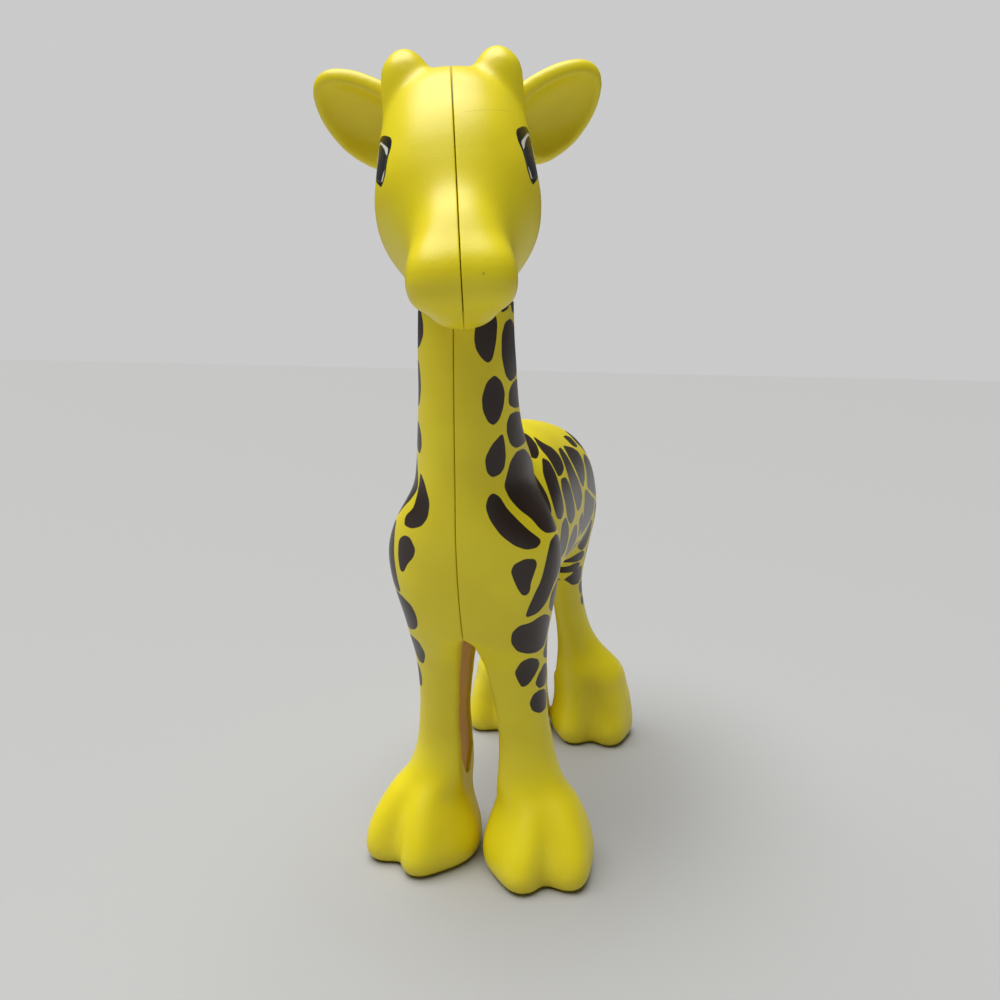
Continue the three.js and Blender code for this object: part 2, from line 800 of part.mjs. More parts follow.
function buildHead() {
  const skin = join([headSkin(0), horn(1, 0), horn(-1, 0), bridge(), muzzle()]);
  const hollow = headSkin(wall);
  const origin = new THREE.Vector3();
  const roomRadius = collarDiameter / 2 + neckClearance;
  const neckRoom = cylinder(roomRadius, -blockSize / 4, runningGap, origin, swivelAxis);
  const tunnel = cylinder(postRadius + runningGap, -overrun, seatWall + overrun, origin, swivelAxis);
  const pocket = cylinder(
    flangeRadius + runningGap,
    seatWall,
    seatWall + flangeThickness + 3 * runningGap,
    origin,
    swivelAxis,
  );
  let shell = skin.subtract(neckRoom).subtract(hollow).subtract(tunnel).subtract(pocket);
  const ears = {};
  for (const sideSign of [1, -1]) {
    const clearSkin = headSkin(-runningGap);
    const leaf = ear(sideSign).subtract(clearSkin).subtract(horn(sideSign, runningGap));
    ears[sideSign] = leaf.add(earPeg(sideSign, earPegRadius, 0));
    shell = shell.subtract(earPeg(sideSign, earPegRadius + runningGap, runningGap));
  }
  const halves = {};
  for (const sideSign of [1, -1]) {
    let half = shell.intersect(halfSpace(sideSign));
    for (const place of headBosses) {
      const boss = bossPost(place, bossRadius, seamGap / 2, headWidth / 2, sideSign).intersect(skin);
      half = half.add(boss);
      if (sideSign > 0) {
        half = half.subtract(bossPost(place, pinRadius + runningGap, -overrun, pinReach + runningGap, 1));
      } else {
        half = half.add(bossPost(place, pinRadius, -pinReach, pinReach, 1));
      }
    }
    halves[sideSign] = half;
  }
  return { halves, ears };
}

// Swivel post: a spool with one flange trapped in the neck and one in the head
function swivelPost() {
  const low = -seatWall - runningGap - flangeThickness;
  const high = seatWall + runningGap + flangeThickness;
  return lathe(
    [
      [0, low],
      [flangeRadius, low],
      [flangeRadius, low + flangeThickness],
      [postRadius, low + flangeThickness],
      [postRadius, high - flangeThickness],
      [flangeRadius, high - flangeThickness],
      [flangeRadius, high],
      [0, high],
    ],
    swivelPoint,
    swivelAxis,
  );
}

// Assembly
const giraffe = new THREE.Group();
const headGroup = new THREE.Group();
headGroup.position.copy(swivelPoint);
headGroup.quaternion.setFromAxisAngle(swivelAxis, THREE.MathUtils.degToRad(headTurn));
giraffe.add(headGroup);

function addPiece(name, solid, look, parent) {
  const piece = new THREE.Mesh(toGeometry(solid), new THREE.MeshStandardMaterial(look));
  piece.name = name;
  parent.add(piece);
}

const body = buildBody();
addPiece("body_shell_left", body.halves[1], plastic, giraffe);
addPiece("body_shell_right", body.halves[-1], plastic, giraffe);
arches.forEach((arch, i) => addPiece(arch.name, body.covers[i], shade, giraffe));
addPiece("neck_swivel_post", swivelPost(), dark, giraffe);

const head = buildHead();
addPiece("head_shell_left", head.halves[1], plastic, headGroup);
addPiece("head_shell_right", head.halves[-1], plastic, headGroup);
addPiece("ear_left", head.ears[1], plastic, headGroup);
addPiece("ear_right", head.ears[-1], plastic, headGroup);

// The origin is the middle of the whole toy's footprint
giraffe.updateMatrixWorld(true);
const bounds = new THREE.Box3().setFromObject(giraffe, true);
const middle = bounds.getCenter(new THREE.Vector3());
giraffe.position.set(-middle.x, -middle.y, -bounds.min.z);

export default giraffe;
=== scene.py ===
import math
import bmesh
import bpy
import numpy as np
from mathutils import Matrix, Vector


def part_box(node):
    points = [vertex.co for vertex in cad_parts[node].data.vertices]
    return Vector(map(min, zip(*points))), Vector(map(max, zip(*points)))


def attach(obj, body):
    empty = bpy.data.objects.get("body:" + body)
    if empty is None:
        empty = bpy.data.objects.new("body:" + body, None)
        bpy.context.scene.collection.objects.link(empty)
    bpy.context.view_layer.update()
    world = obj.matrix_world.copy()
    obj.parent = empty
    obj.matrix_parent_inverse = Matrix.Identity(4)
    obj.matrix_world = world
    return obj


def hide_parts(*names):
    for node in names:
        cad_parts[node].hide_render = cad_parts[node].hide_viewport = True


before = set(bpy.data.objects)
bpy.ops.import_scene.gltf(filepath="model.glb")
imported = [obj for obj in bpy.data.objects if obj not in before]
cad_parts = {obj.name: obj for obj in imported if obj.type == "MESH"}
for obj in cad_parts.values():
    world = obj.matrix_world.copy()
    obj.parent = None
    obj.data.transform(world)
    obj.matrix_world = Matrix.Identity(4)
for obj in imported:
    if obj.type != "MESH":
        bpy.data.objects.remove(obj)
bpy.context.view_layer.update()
scene = bpy.context.scene
mm = 0.001

# Stance and swivel, as in the solids. The nose points to -Y and the giraffe's own left is +X.
stance = {
    "footPitch": 16,
    "footSpan": 48,
    "neckTop": 75.6,
    "neckForward": 10.8,
    "neckTilt": 11.5,
    "headTurn": 17,
}
frontLine = -stance["footSpan"] / 2
rearLine = stance["footSpan"] / 2
tilt = math.radians(stance["neckTilt"])
swivelAxis = Vector((0, -math.sin(tilt), math.cos(tilt)))
swivelPoint = Vector((0, frontLine - stance["neckForward"], stance["neckTop"]))

# The post is a spool about the swivel point, so its middle leads from the toy's own frame to this one
postLow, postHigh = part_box("neck_swivel_post")
toFrame = Matrix.Translation((postLow + postHigh) / 2 - swivelPoint * mm) @ Matrix.Scale(mm, 4)
headTurn = Matrix.Rotation(math.radians(stance["headTurn"]), 4, swivelAxis)
headToFrame = toFrame @ Matrix.Translation(swivelPoint) @ headTurn

# Camera

view = {
    "place": (32.125, -139.134, 71.711),
    "yaw": 14.744,
    "pitch": 9.887,
    "roll": 0.75,
    "focal": 0.92,
    "sensor": 36,
}
cameraData = bpy.data.cameras.new("camera")
camera = bpy.data.objects.new("camera", cameraData)
scene.collection.objects.link(camera)
cameraData.sensor_width = view["sensor"]
cameraData.lens = view["sensor"] * view["focal"]
cameraData.clip_start = 0.01
cameraData.clip_end = 10
turnCamera = (
    Matrix.Rotation(math.radians(view["yaw"]), 4, "Z")
    @ Matrix.Rotation(math.radians(90 - view["pitch"]), 4, "X")
    @ Matrix.Rotation(math.radians(view["roll"]), 4, "Z")
)
camera.matrix_world = Matrix.Translation(toFrame @ Vector(view["place"])) @ turnCamera
scene.camera = camera
print("camera made")


# Forms

# the rings of trunk and head are squarer than an ellipse, whose power is 2
squareness = 2.25


def smoothRows(rows, steps):
    # a cubic through the stations, so that the skin has no facets along its length
    table = np.array(rows, float)
    place = table[:, 0]
    slope = np.gradient(table, place, axis=0)
    made = []
    for i in range(len(rows) - 1):
        gap = place[i + 1] - place[i]
        for t in np.arange(steps) / steps:
            rise = t * t * (3 - 2 * t)
            made.append(
                (1 - rise) * table[i]
                + rise * table[i + 1]
                + gap * t * (1 - t) * ((1 - t) * slope[i] - t * slope[i + 1])
            )
    made.append(table[-1])
    return made


def addSkin(bm, rows, axes, origin=(0, 0, 0), power=2.0, sides=72, steps=4, swell=None):
    # rows are place, low, high, half width and sideways shift of each ring
    along, across, up = (Vector(axis) for axis in axes)
    start = Vector(origin)
    loops = []
    for row in smoothRows(rows, steps):
        place, low, high, half, side = row
        ring = bmesh.ops.create_circle(bm, segments=sides, radius=1)["verts"]
        middle = (low + high) / 2
        deep = (high - low) / 2
        for vert in ring:
            c, s = vert.co.x, vert.co.y
            grow = swell(math.atan2(s, c), place) if swell else 1
            u = side + half * grow * math.copysign(abs(c) ** (2 / power), c)
            v = middle + deep * grow * math.copysign(abs(s) ** (2 / power), s)
            vert.co = start + along * place + across * u + up * v
        loops.append(list({edge for vert in ring for edge in vert.link_edges}))
    for first, second in zip(loops, loops[1:]):
        bmesh.ops.bridge_loops(bm, edges=first + second)
    for end in (loops[0], loops[-1]):
        bmesh.ops.contextual_create(bm, geom=end)


def addBall(bm, radii, at):
    place = Matrix.Translation(at) @ Matrix.Diagonal((*radii, 1))
    bmesh.ops.create_uvsphere(bm, u_segments=64, v_segments=40, radius=1, matrix=place)


def addRod(bm, radius, low, high, at, axis):
    turn = Vector(axis).to_track_quat("Z", "Y").to_matrix().to_4x4()
    place = Matrix.Translation(at) @ turn @ Matrix.Translation((0, 0, (low + high) / 2))
    bmesh.ops.create_cone(
        bm, cap_ends=True, segments=64, depth=high - low, matrix=place, radius1=radius, radius2=radius
    )


def toObject(bm, name):
    bmesh.ops.recalc_face_normals(bm, faces=bm.faces)
    mesh = bpy.data.meshes.new(name)
    bm.to_mesh(mesh)
    bm.free()
    made = bpy.data.objects.new(name, mesh)
    scene.collection.objects.link(made)
    return made


def bake(made, **modifier):
    # adds one modifier and keeps its result as the mesh
    kind = modifier.pop("type")
    added = made.modifiers.new(kind, kind)
    for key, value in modifier.items():
        setattr(added, key, value)
    depsgraph = bpy.context.evaluated_depsgraph_get()
    done = bpy.data.meshes.new_from_object(made.evaluated_get(depsgraph))
    made.modifiers.clear()
    old = made.data
    made.data = done
    bpy.data.meshes.remove(old)
    return made


def remesh(made, voxel):
    return bake(made, type="REMESH", mode="VOXEL", voxel_size=voxel, use_smooth_shade=True)


def cut(made, tool):
    bake(made, type="BOOLEAN", operation="DIFFERENCE", object=tool, solver="MANIFOLD")
    bpy.data.objects.remove(tool)
    return made


# a softening that fades comes in by so many steps
fadeSteps = 16


def soften(made, rounds, low=None, high=None, fade=0):
    # all of the mesh, or what lies between two corners of a box, coming in over the fade from its walls
    bm = bmesh.new()
    bm.from_mesh(made.data)
    steps = fadeSteps if low else 1
    verts = bm.verts
    if low:
        depths = [min(min(c - a, b - c) for a, c, b in zip(low, v.co, high)) for v in verts]
    for step in range(steps):
        if low:
            verts = [v for v, depth in zip(bm.verts, depths) if depth > fade * step / steps]
        for _ in range(rounds // steps):
            bmesh.ops.smooth_vert(
                bm, verts=verts, factor=0.5, use_axis_x=True, use_axis_y=True, use_axis_z=True
            )
    bm.to_mesh(made.data)
    bm.free()
    return made


# The two halves of a moulding meet on the mid-plane, and each has a small round along its seam edge
seam = {"gap": 0.05, "round": 0.14, "loops": (0.03, 0.07, 0.11, 0.16, 0.3), "leastFlat": 0.2}


def halve(made, sideSign, name):
    bm = bmesh.new()
    bm.from_mesh(made.data)
    out = Vector((sideSign, 0, 0))
    face = out * seam["gap"]

    def split(offset, clear):
        bmesh.ops.bisect_plane(
            bm, geom=bm.verts[:] + bm.edges[:] + bm.faces[:], dist=1e-5,
            plane_co=face + out * offset, plane_no=-out, clear_outer=clear,
        )

    split(0, True)
    for offset in seam["loops"]:
        split(offset, False)
    bm.normal_update()
    shift = {}
    for vert in bm.verts:
        near = vert.co.x * sideSign - seam["gap"]
        if near < seam["round"]:
            away = seam["round"] - near
            drop = seam["round"] - math.sqrt(max(0, seam["round"] ** 2 - away ** 2))
            flat = Vector((0, vert.normal.y, vert.normal.z))
            if flat.length > seam["leastFlat"]:
                shift[vert] = flat.normalized() * drop
    for vert, move in shift.items():
        vert.co -= move
    rim = [edge for edge in bm.edges if edge.is_boundary]
    bmesh.ops.triangle_fill(bm, use_beauty=True, use_dissolve=False, edges=rim, normal=-out)
    return toObject(bm, name)


def readPoints(made, name):
    # one row of three numbers for each point of the mesh
    values = np.empty(len(made.data.vertices) * 3)
    made.data.vertices.foreach_get(name, values)
    return values.reshape(-1, 3)


def writeField(made, name, field):
    values = field.astype(np.float32)
    made.data.attributes.new(name, "FLOAT", "POINT").data.foreach_set("value", values)


sharpDegrees = 48


def finishPiece(made, body, node, place, material):
    # the attribute keeps every point's place in the toy's own millimetres for the materials
    places = readPoints(made, "co").astype(np.float32).ravel()
    made.data.attributes.new("place", "FLOAT_VECTOR", "POINT").data.foreach_set("vector", places)
    made.data.transform(place)
    made.data.shade_smooth()
    made.data.set_sharp_from_angle(angle=math.radians(sharpDegrees))
    made.data.materials.clear()
    made.data.materials.append(material)
    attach(made, body)
    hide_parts(node)


# Shader maths

class Socket:
    # one output of a node; the operators add Math nodes
    def __init__(self, tree, output):
        self.tree = tree
        self.output = output

    def maths(self, operation, *others):
        node = self.tree.nodes.new("ShaderNodeMath")
        node.operation = operation
        for socket, value in zip(node.inputs, (self, *others)):
            join(self.tree, value, socket)
        return Socket(self.tree, node.outputs[0])

    def __add__(self, other):
        return self.maths("ADD", other)

    def __sub__(self, other):
        return self.maths("SUBTRACT", other)

    def __rsub__(self, other):
        return self.maths("MULTIPLY_ADD", -1, other)

    def __mul__(self, other):
        return self.maths("MULTIPLY", other)

    def size(self):
        return self.maths("ABSOLUTE")

    def step(self, low, high):
        # 0 below low, 1 above high, soft between
        node = self.tree.nodes.new("ShaderNodeMapRange")
        node.interpolation_type = "SMOOTHSTEP"
        for name, value in (("Value", self), ("From Min", low), ("From Max", high)):
            join(self.tree, value, node.inputs[name])
        return Socket(self.tree, node.outputs[0])


def join(tree, value, socket):
    if isinstance(value, Socket):
        tree.links.new(value.output, socket)
    else:
        socket.default_value = value


class Finish:
    # one material and its nodes
    def __init__(self, name):
        self.material = bpy.data.materials.new(name)
        self.material.use_nodes = True
        self.tree = self.material.node_tree
        self.tree.nodes.clear()
        self.shader = self.tree.nodes.new("ShaderNodeBsdfPrincipled")
        output = self.tree.nodes.new("ShaderNodeOutputMaterial")
        self.tree.links.new(self.shader.outputs[0], output.inputs[0])

    def add(self, kind, settings=None, output=0, **values):
        node = self.tree.nodes.new(kind)
        for key, value in (settings or {}).items():
            setattr(node, key, value)
        # inputs go by name, or by number as in i1
        for key, value in values.items():
            name = key.replace("_", " ")
            socket = node.inputs[name] if name in node.inputs else node.inputs[int(key[1:])]
            join(self.tree, value, socket)
        return Socket(self.tree, node.outputs[output])

    def mix(self, share, first, second):
        # between two colours
        return self.add("ShaderNodeMix", {"data_type": "RGBA"}, output=2, i0=share, i6=first, i7=second)

    def noise(self, vector, scale, detail=2.0):
        return self.add("ShaderNodeTexNoise", Vector=vector, Scale=scale, Detail=detail)

    def set(self, **values):
        for key, value in values.items():
            join(self.tree, value, self.shader.inputs[key.replace("_", " ")])
        return self


grain = {
    "toneScale": 0.11,
    "toneSpan": (0.35, 0.65),
    "dullScale": 0.6,
    "dullDetail": 4,
    "dullSpread": 0.12,
    "skinScale": 4.5,
    "skinDetail": 3,
    "skinHeight": 0.000012,
}


class Plastic(Finish):
    # satin moulded plastic: its tone, gloss and skin are slightly uneven
    def __init__(self, name, light, deep, dull=0.4):
        super().__init__(name)
        self.place = self.add("ShaderNodeAttribute", {"attribute_name": "place"}, output=1)
        tone = self.noise(self.place, grain["toneScale"]).step(*grain["toneSpan"])
        self.colour = self.mix(tone, (*deep, 1), (*light, 1))
        gloss = self.noise(self.place, grain["dullScale"], grain["dullDetail"])
        self.dull = gloss * grain["dullSpread"] + (dull - grain["dullSpread"] / 2)
        skin = self.noise(self.place, grain["skinScale"], grain["skinDetail"])
        self.set(Normal=self.add("ShaderNodeBump", Height=skin, Distance=grain["skinHeight"], Strength=1))

    def field(self, name, soft=0.045):
        # share of ink from a distance kept on the mesh
        return self.add("ShaderNodeAttribute", {"attribute_name": name}, output=2).step(-soft, soft)

    def print(self, share, ink, gloss):
        self.colour = self.mix(share, self.colour, (*ink, 1))
        self.dull = self.dull + share * (gloss - self.dull)

    def done(self):
        self.set(Base_Color=self.colour, Roughness=self.dull, IOR=1.5)
        return self.material


yellow = {"light": (0.86, 0.725, 0.01), "deep": (0.82, 0.675, 0.008)}
# the cover strips are a more orange yellow plastic, and their deeper amber tone is painted shade for the
# recess between the legs
amberWithShade = {"light": (0.78, 0.43, 0.01), "deep": (0.72, 0.38, 0.008), "dull": 0.44}
brown = {"ink": (0.024, 0.011, 0.005), "gloss": 0.33}
print("helpers ready")


# Body: neck, barrel, limbs and tail become one skin

body = {
    "chestDepth": 24,
    "shoulderWidth": 22.3,
    "barrelWidth": 19.2,
    "backHeight": 60.4,
    "bellyHeight": 34.5,
    "rumpOverhang": 6.2,
    "hoofRadius": 7.8,
    "limbHeight": 46,
    "frontToeOut": 22,
    "rearToeOut": 9,
    "tailWidth": 2.5,
    "tailTop": 55.5,
    "tailEnd": 36,
    "voxel": 0.32,
    "blendRounds": 26,
    "edgeRounds": 4,
    "neckCut": 20,
}
# height as a share of the neck's, front and back of the chest depth, half of the shoulder's
trunkShares = [
    (0.45, -0.42, 0.13, 0.82), (0.476, -0.45, 0.132, 0.861), (0.503, -0.48, 0.12, 0.903),
    (0.529, -0.502, 0.07, 0.939), (0.556, -0.523, 0.062, 0.973), (0.582, -0.541, 0.083, 0.998),
    (0.608, -0.554, 0.104, 0.995), (0.635, -0.568, 0.125, 0.946), (0.661, -0.573, 0.13, 0.87),
    (0.688, -0.577, 0.135, 0.758), (0.714, -0.581, 0.14, 0.664), (0.754, -0.588, 0.13, 0.622),
    (0.794, -0.596, -0.004, 0.577), (0.833, -0.602, -0.079, 0.547), (0.873, -0.608, -0.117, 0.529),
    (0.913, -0.613, -0.154, 0.524), (0.952, -0.617, -0.188, 0.514), (0.992, -0.619, -0.202, 0.506),
    (1.04, -0.621, -0.21, 0.5),
]
# place along the barrel, low and high of the back span, half of the barrel's
barrelShares = [
    (-0.6, 0.42, 0.66, 0.4), (-0.5, 0.1, 0.9, 0.86), (-0.34, 0, 1, 1), (-0.16, 0, 0.995, 1),
    (0, 0.01, 0.97, 0.98), (0.26, 0, 0.93, 0.94), (0.49, -0.02, 0.884, 0.877),
    (0.66, -0.02, 0.835, 0.79), (0.8, 0.03, 0.76, 0.67), (0.91, 0.13, 0.65, 0.5),
    (0.97, 0.24, 0.54, 0.32), (1, 0.33, 0.44, 0.12),
]
# height as a share of the limb's, then side, place, half width and half depth in hoof radii
frontLimbShares = [
    (0, 1.03, -0.01, 0.87, 0.87), (0.015, 1.028, -0.03, 0.94, 0.935),
    (0.043, 1.026, -0.038, 0.985, 0.975), (0.087, 1.026, -0.02, 0.98, 0.95),
    (0.13, 1.026, -0.006, 0.917, 0.88),
    (0.174, 1.013, 0.02, 0.82, 0.79), (0.217, 0.96, 0.058, 0.72, 0.7),
    (0.261, 0.8, 0.09, 0.66, 0.61), (0.304, 0.72, 0.11, 0.625, 0.56),
    (0.348, 0.69, 0.1, 0.58, 0.52), (0.391, 0.67, 0.065, 0.56, 0.49),
    (0.435, 0.645, 0, 0.55, 0.475), (0.478, 0.615, -0.058, 0.545, 0.475),
    (0.522, 0.6, -0.103, 0.541, 0.5), (0.587, 0.551, -0.18, 0.584, 0.55),
    (0.63, 0.506, -0.224, 0.641, 0.6), (0.674, 0.468, -0.3, 0.692, 0.66),
    (0.717, 0.41, -0.42, 0.769, 0.73), (0.783, 0.423, -0.52, 0.808, 0.81),
    (0.87, 0.538, -0.64, 0.795, 0.85), (0.957, 0.59, -0.69, 0.78, 0.86),
    (1, 0.59, -0.69, 0.7, 0.76),
]
rearLimbShares = [
    (0, 1.006, -0.21, 0.87, 0.85), (0.015, 1.006, -0.225, 0.93, 0.91),
    (0.043, 1.006, -0.23, 0.981, 0.955), (0.087, 1.006, -0.22, 0.968, 0.94),
    (0.13, 1.006, -0.22, 0.923, 0.9), (0.174, 0.994, -0.24, 0.895, 0.87),
    (0.217, 0.949, -0.275, 0.86, 0.85), (0.261, 0.93, -0.33, 0.84, 0.84),
    (0.304, 0.865, -0.38, 0.765, 0.76), (0.348, 0.775, -0.44, 0.61, 0.6),
    (0.391, 0.67, -0.52, 0.505, 0.51), (0.465, 0.55, -0.64, 0.405, 0.48),
    (0.543, 0.462, -0.71, 0.366, 0.53), (0.652, 0.385, -0.79, 0.372, 0.66),
    (0.739, 0.397, -0.81, 0.436, 0.82), (0.826, 0.436, -0.81, 0.5, 0.95),
    (0.913, 0.487, -0.79, 0.538, 1), (1, 0.487, -0.77, 0.538, 0.9),
]
# height, front and back of the rump overhang, half of the tail's width
tailShares = [
    (0, 0.78, 1.02, 0.5), (0.07, 0.6, 1.18, 1.2), (0.16, 0.6, 1.24, 1.45), (0.28, 0.6, 1.24, 1.2),
    (0.42, 0.6, 1.22, 0.9), (0.58, 0.5, 1.16, 0.9), (0.74, 0.3, 0.98, 0.95),
    (0.88, 0.05, 0.68, 1), (1, -0.3, 0.2, 0.8),
]
upward = ((0, 0, 1), (1, 0, 0), (0, 1, 0))
backward = ((0, 1, 0), (1, 0, 0), (0, 0, 1))

# Each hoof has two toes with a cleft between them, which fades out up the foot
hoof = {
    "cleftDepth": 1.7,
    "cleftSpread": 0.2,
    "lobeSwell": 1.6,
    "lobePlace": 0.5,
    "lobeSpread": 0.36,
    "fade": 13,
}


def hoofSwell(sideSign, toeOut):
    toward = -math.pi / 2 + sideSign * math.radians(toeOut)

    def swell(angle, height):
        off = abs(math.remainder(angle - toward, 2 * math.pi))
        cleft = hoof["cleftDepth"] * math.exp(-((off / hoof["cleftSpread"]) ** 2))
        lobe = hoof["lobeSwell"] * math.exp(-(((off - hoof["lobePlace"]) / hoof["lobeSpread"]) ** 2))
        return 1 + max(0, 1 - (height / hoof["fade"]) ** 2) * (lobe - cleft) / body["hoofRadius"]

    return swell


limbs = [
    (frontLine, 1, frontLimbShares, body["frontToeOut"]),
    (frontLine, -1, frontLimbShares, body["frontToeOut"]),
    (rearLine, 1, rearLimbShares, body["rearToeOut"]),
    (rearLine, -1, rearLimbShares, body["rearToeOut"]),
]


def limbRow(line, sideSign, share):
    height, side, place, half, deep = share
    radius = body["hoofRadius"]
    middle, reach = line + place * radius, deep * radius
    at = height * body["limbHeight"]
    return at, middle - reach, middle + reach, half * radius, sideSign * side * radius


# Arch between two legs, lined with a cover strip
arch = {
    "run": 43.2,
    "apexGrowth": 1.6,
    "steps": 4,
    "recess": 0.35,
    "thickness": 1.2,
    "gap": 0.15,
    "overcut": 0.6,
    "lip": 0.7,
    "reach": 3.2,
    "offLimit": 0.94,
    "endShare": 0.25,
    "endTaper": 4,
    "edge": 0.12,
    "sharpAngle": 0.9,
}
# share of the way from ankle to crotch, share of half the gap
archShares = [
    (0, 0.8), (0.16, 0.93), (0.42, 1), (0.52, 0.95), (0.63, 0.84), (0.74, 0.74), (0.84, 0.6),
    (0.91, 0.47), (0.965, 0.33), (1, 0),
]
archHeights, archHalves = (np.array(column) for column in zip(*archShares))
arches = [
    {
        "node": "front_leg_inner_cover",
        "name": "front_leg_cover",
        "gap": 5.5,
        "line": frontLine,
        "foot": 9.2,
        "top": 34.9,
        "shares": frontLimbShares,
    },
    {
        "node": "rear_leg_inner_cover",
        "name": "rear_leg_cover",
        "gap": 3.8,
        "line": rearLine,
        "foot": 11.4,
        "top": 31,
        "shares": rearLimbShares,
    },
]


def archReach(spec, share):
    # half of the gap there
    return np.interp(share, archHeights, archHalves) * spec["gap"] / 2


def archProfile(spec, growth):
    # half of the outline, from the ankle up to the apex, as x and z
    spans = zip(archHeights, archHeights[1:])
    fine = np.concatenate([np.linspace(low, high, arch["steps"], endpoint=False) for low, high in spans])
    span = spec["top"] - spec["foot"]
    points = [(archReach(spec, share) + growth, spec["foot"] + share * span) for share in fine]
    points.append((0, spec["top"] + arch["apexGrowth"] * growth))
    return points


def archBlock(spec, growth):
    half = archProfile(spec, growth)
    bm = bmesh.new()
    outline = half + [(-x, z) for x, z in reversed(half[:-1])]
    start = spec["line"] - arch["run"] / 2
    face = bm.faces.new([bm.verts.new((x, start, z)) for x, z in outline])
    run = bmesh.ops.extrude_face_region(bm, geom=[face])["geom"]
    far = [item for item in run if isinstance(item, bmesh.types.BMVert)]
    bmesh.ops.translate(bm, verts=far, vec=(0, arch["run"], 0))
    return toObject(bm, "archTool")


def coverStrip(spec, near, far, slack, name, edge):
    # a strip bent along the arch: as deep as near to far, as wide as the flat of the leg less a lip
    span = spec["top"] - spec["foot"]
    lowest = spec["foot"] + 2 * arch["lip"]
    rows = [limbRow(spec["line"], 1, share) for share in spec["shares"]]
    rows = [row for row in rows if lowest < row[0] < spec["top"] - arch["lip"]]
    middles, chords = [], []
    for z, low, high, half, side in rows:
        off = min(arch["offLimit"], (side - archReach(spec, (z - spec["foot"]) / span)) / half)
        chord = (high - low) / 2 * math.sqrt(1 - off * off) - arch["lip"]
        middles.append((low + high) / 2)
        chords.append(min(chord, arch["reach"]) + slack)
    places = [row[0] for row in rows]
    bottom = places[0] - slack
    pairs = [pair for pair in zip(archProfile(spec, near), archProfile(spec, far)) if pair[0][1] > bottom]
    (x0, _), (x1, _) = pairs[0]
    pairs.insert(0, ((x0, bottom), (x1, bottom)))
    path = pairs + [((-a[0], a[1]), (-b[0], b[1])) for a, b in reversed(pairs[:-1])]
    bm = bmesh.new()
    sections = []
    for (x0, z0), (x1, z1) in path:
        z = min(z0, places[-1])
        # the strip narrows towards its ends at the ankles
        narrow = min(1, arch["endShare"] + (z - bottom) / arch["endTaper"])
        y, chord = np.interp(z, places, middles), np.interp(z, places, chords) * narrow
        front, back = y - chord, y + chord
        corners = ((x0, front, z0), (x0, back, z0), (x1, back, z1), (x1, front, z1))
        verts = [bm.verts.new(corner) for corner in corners]
        sections.append([bm.edges.new((verts[i], verts[(i + 1) % 4])) for i in range(4)])
    for first, second in zip(sections, sections[1:]):
        bmesh.ops.bridge_loops(bm, edges=first + second)
    for end in (sections[0], sections[-1]):
        bmesh.ops.contextual_create(bm, geom=end)
    if edge:
        bmesh.ops.recalc_face_normals(bm, faces=bm.faces)
        inner = [line for line in bm.edges if len(line.link_faces) == 2]
        sharp = [line for line in inner if line.calc_face_angle(0) > arch["sharpAngle"]]
        bmesh.ops.bevel(
            bm, geom=sharp, offset=edge, offset_type="OFFSET", affect="EDGES", segments=3, profile=0.5,
            material=-1, clamp_overlap=True,
        )
    return toObject(bm, name)


def buildBody():
    bm = bmesh.new()
    depth, wide = body["chestDepth"], body["shoulderWidth"] / 2
    rows = [
        (at * stance["neckTop"], frontLine + front * depth, frontLine + back * depth, half * wide, 0)
        for at, front, back, half in trunkShares
    ]
    addSkin(bm, rows, upward, power=squareness)
    reach = rearLine + body["rumpOverhang"]
    span = body["backHeight"] - body["bellyHeight"]
    rows = [
        (
            place * (reach if place > 0 else stance["footSpan"]),
            body["bellyHeight"] + low * span,
            body["bellyHeight"] + high * span,
            half * body["barrelWidth"] / 2,
            0,
        )
        for place, low, high, half in barrelShares
    ]
    addSkin(bm, rows, backward)
    for line, sideSign, shares, toeOut in limbs:
        rows = [limbRow(line, sideSign, share) for share in shares]
        addSkin(bm, rows, upward, swell=hoofSwell(sideSign, toeOut))
    end, over, wide = body["tailEnd"], body["rumpOverhang"], body["tailWidth"] / 2
    hang = body["tailTop"] - end
    rows = [
        (end + at * hang, rearLine + front * over, rearLine + back * over, half * wide, 0)
        for at, front, back, half in tailShares
    ]
    addSkin(bm, rows, upward, sides=32)
    skin = toObject(bm, "bodySkin")
    remesh(skin, body["voxel"])
    soften(skin, body["blendRounds"])
    for spec in arches:
        cut(skin, archBlock(spec, 0))
    remesh(skin, body["voxel"])
    soften(skin, body["edgeRounds"])
    return skin


# Stud socket under each foot, with a narrower relief above it
socket = {"radius": 4.75, "depth": 5.2, "relief": 2.2, "reliefHeight": 10.6, "overrun": 3, "overlap": 0.1}


def cutBody(skin):
    bm = bmesh.new()
    for line, sideSign, _, _ in limbs:
        at = (sideSign * stance["footPitch"] / 2, line, 0)
        addRod(bm, socket["radius"], -socket["overrun"], socket["depth"], at, (0, 0, 1))
        start = socket["depth"] - socket["overlap"]
        addRod(bm, socket["relief"], start, socket["reliefHeight"], at, (0, 0, 1))
    # the neck ends flat across the swivel axis
    addRod(bm, body["neckCut"], 0, body["neckCut"], swivelPoint, swivelAxis)
    cut(skin, toObject(bm, "socketTool"))
    depth = arch["recess"] + arch["thickness"] + arch["gap"]
    for spec in arches:
        cut(skin, coverStrip(spec, -arch["overcut"], depth, arch["gap"], "channelTool", 0))
    return skin


# Printed patches. Each outline is drawn on the unrolled side of the body: how far round from the
# chest's midline, then the height. The giraffe's left side is as seen, what is hidden follows it.

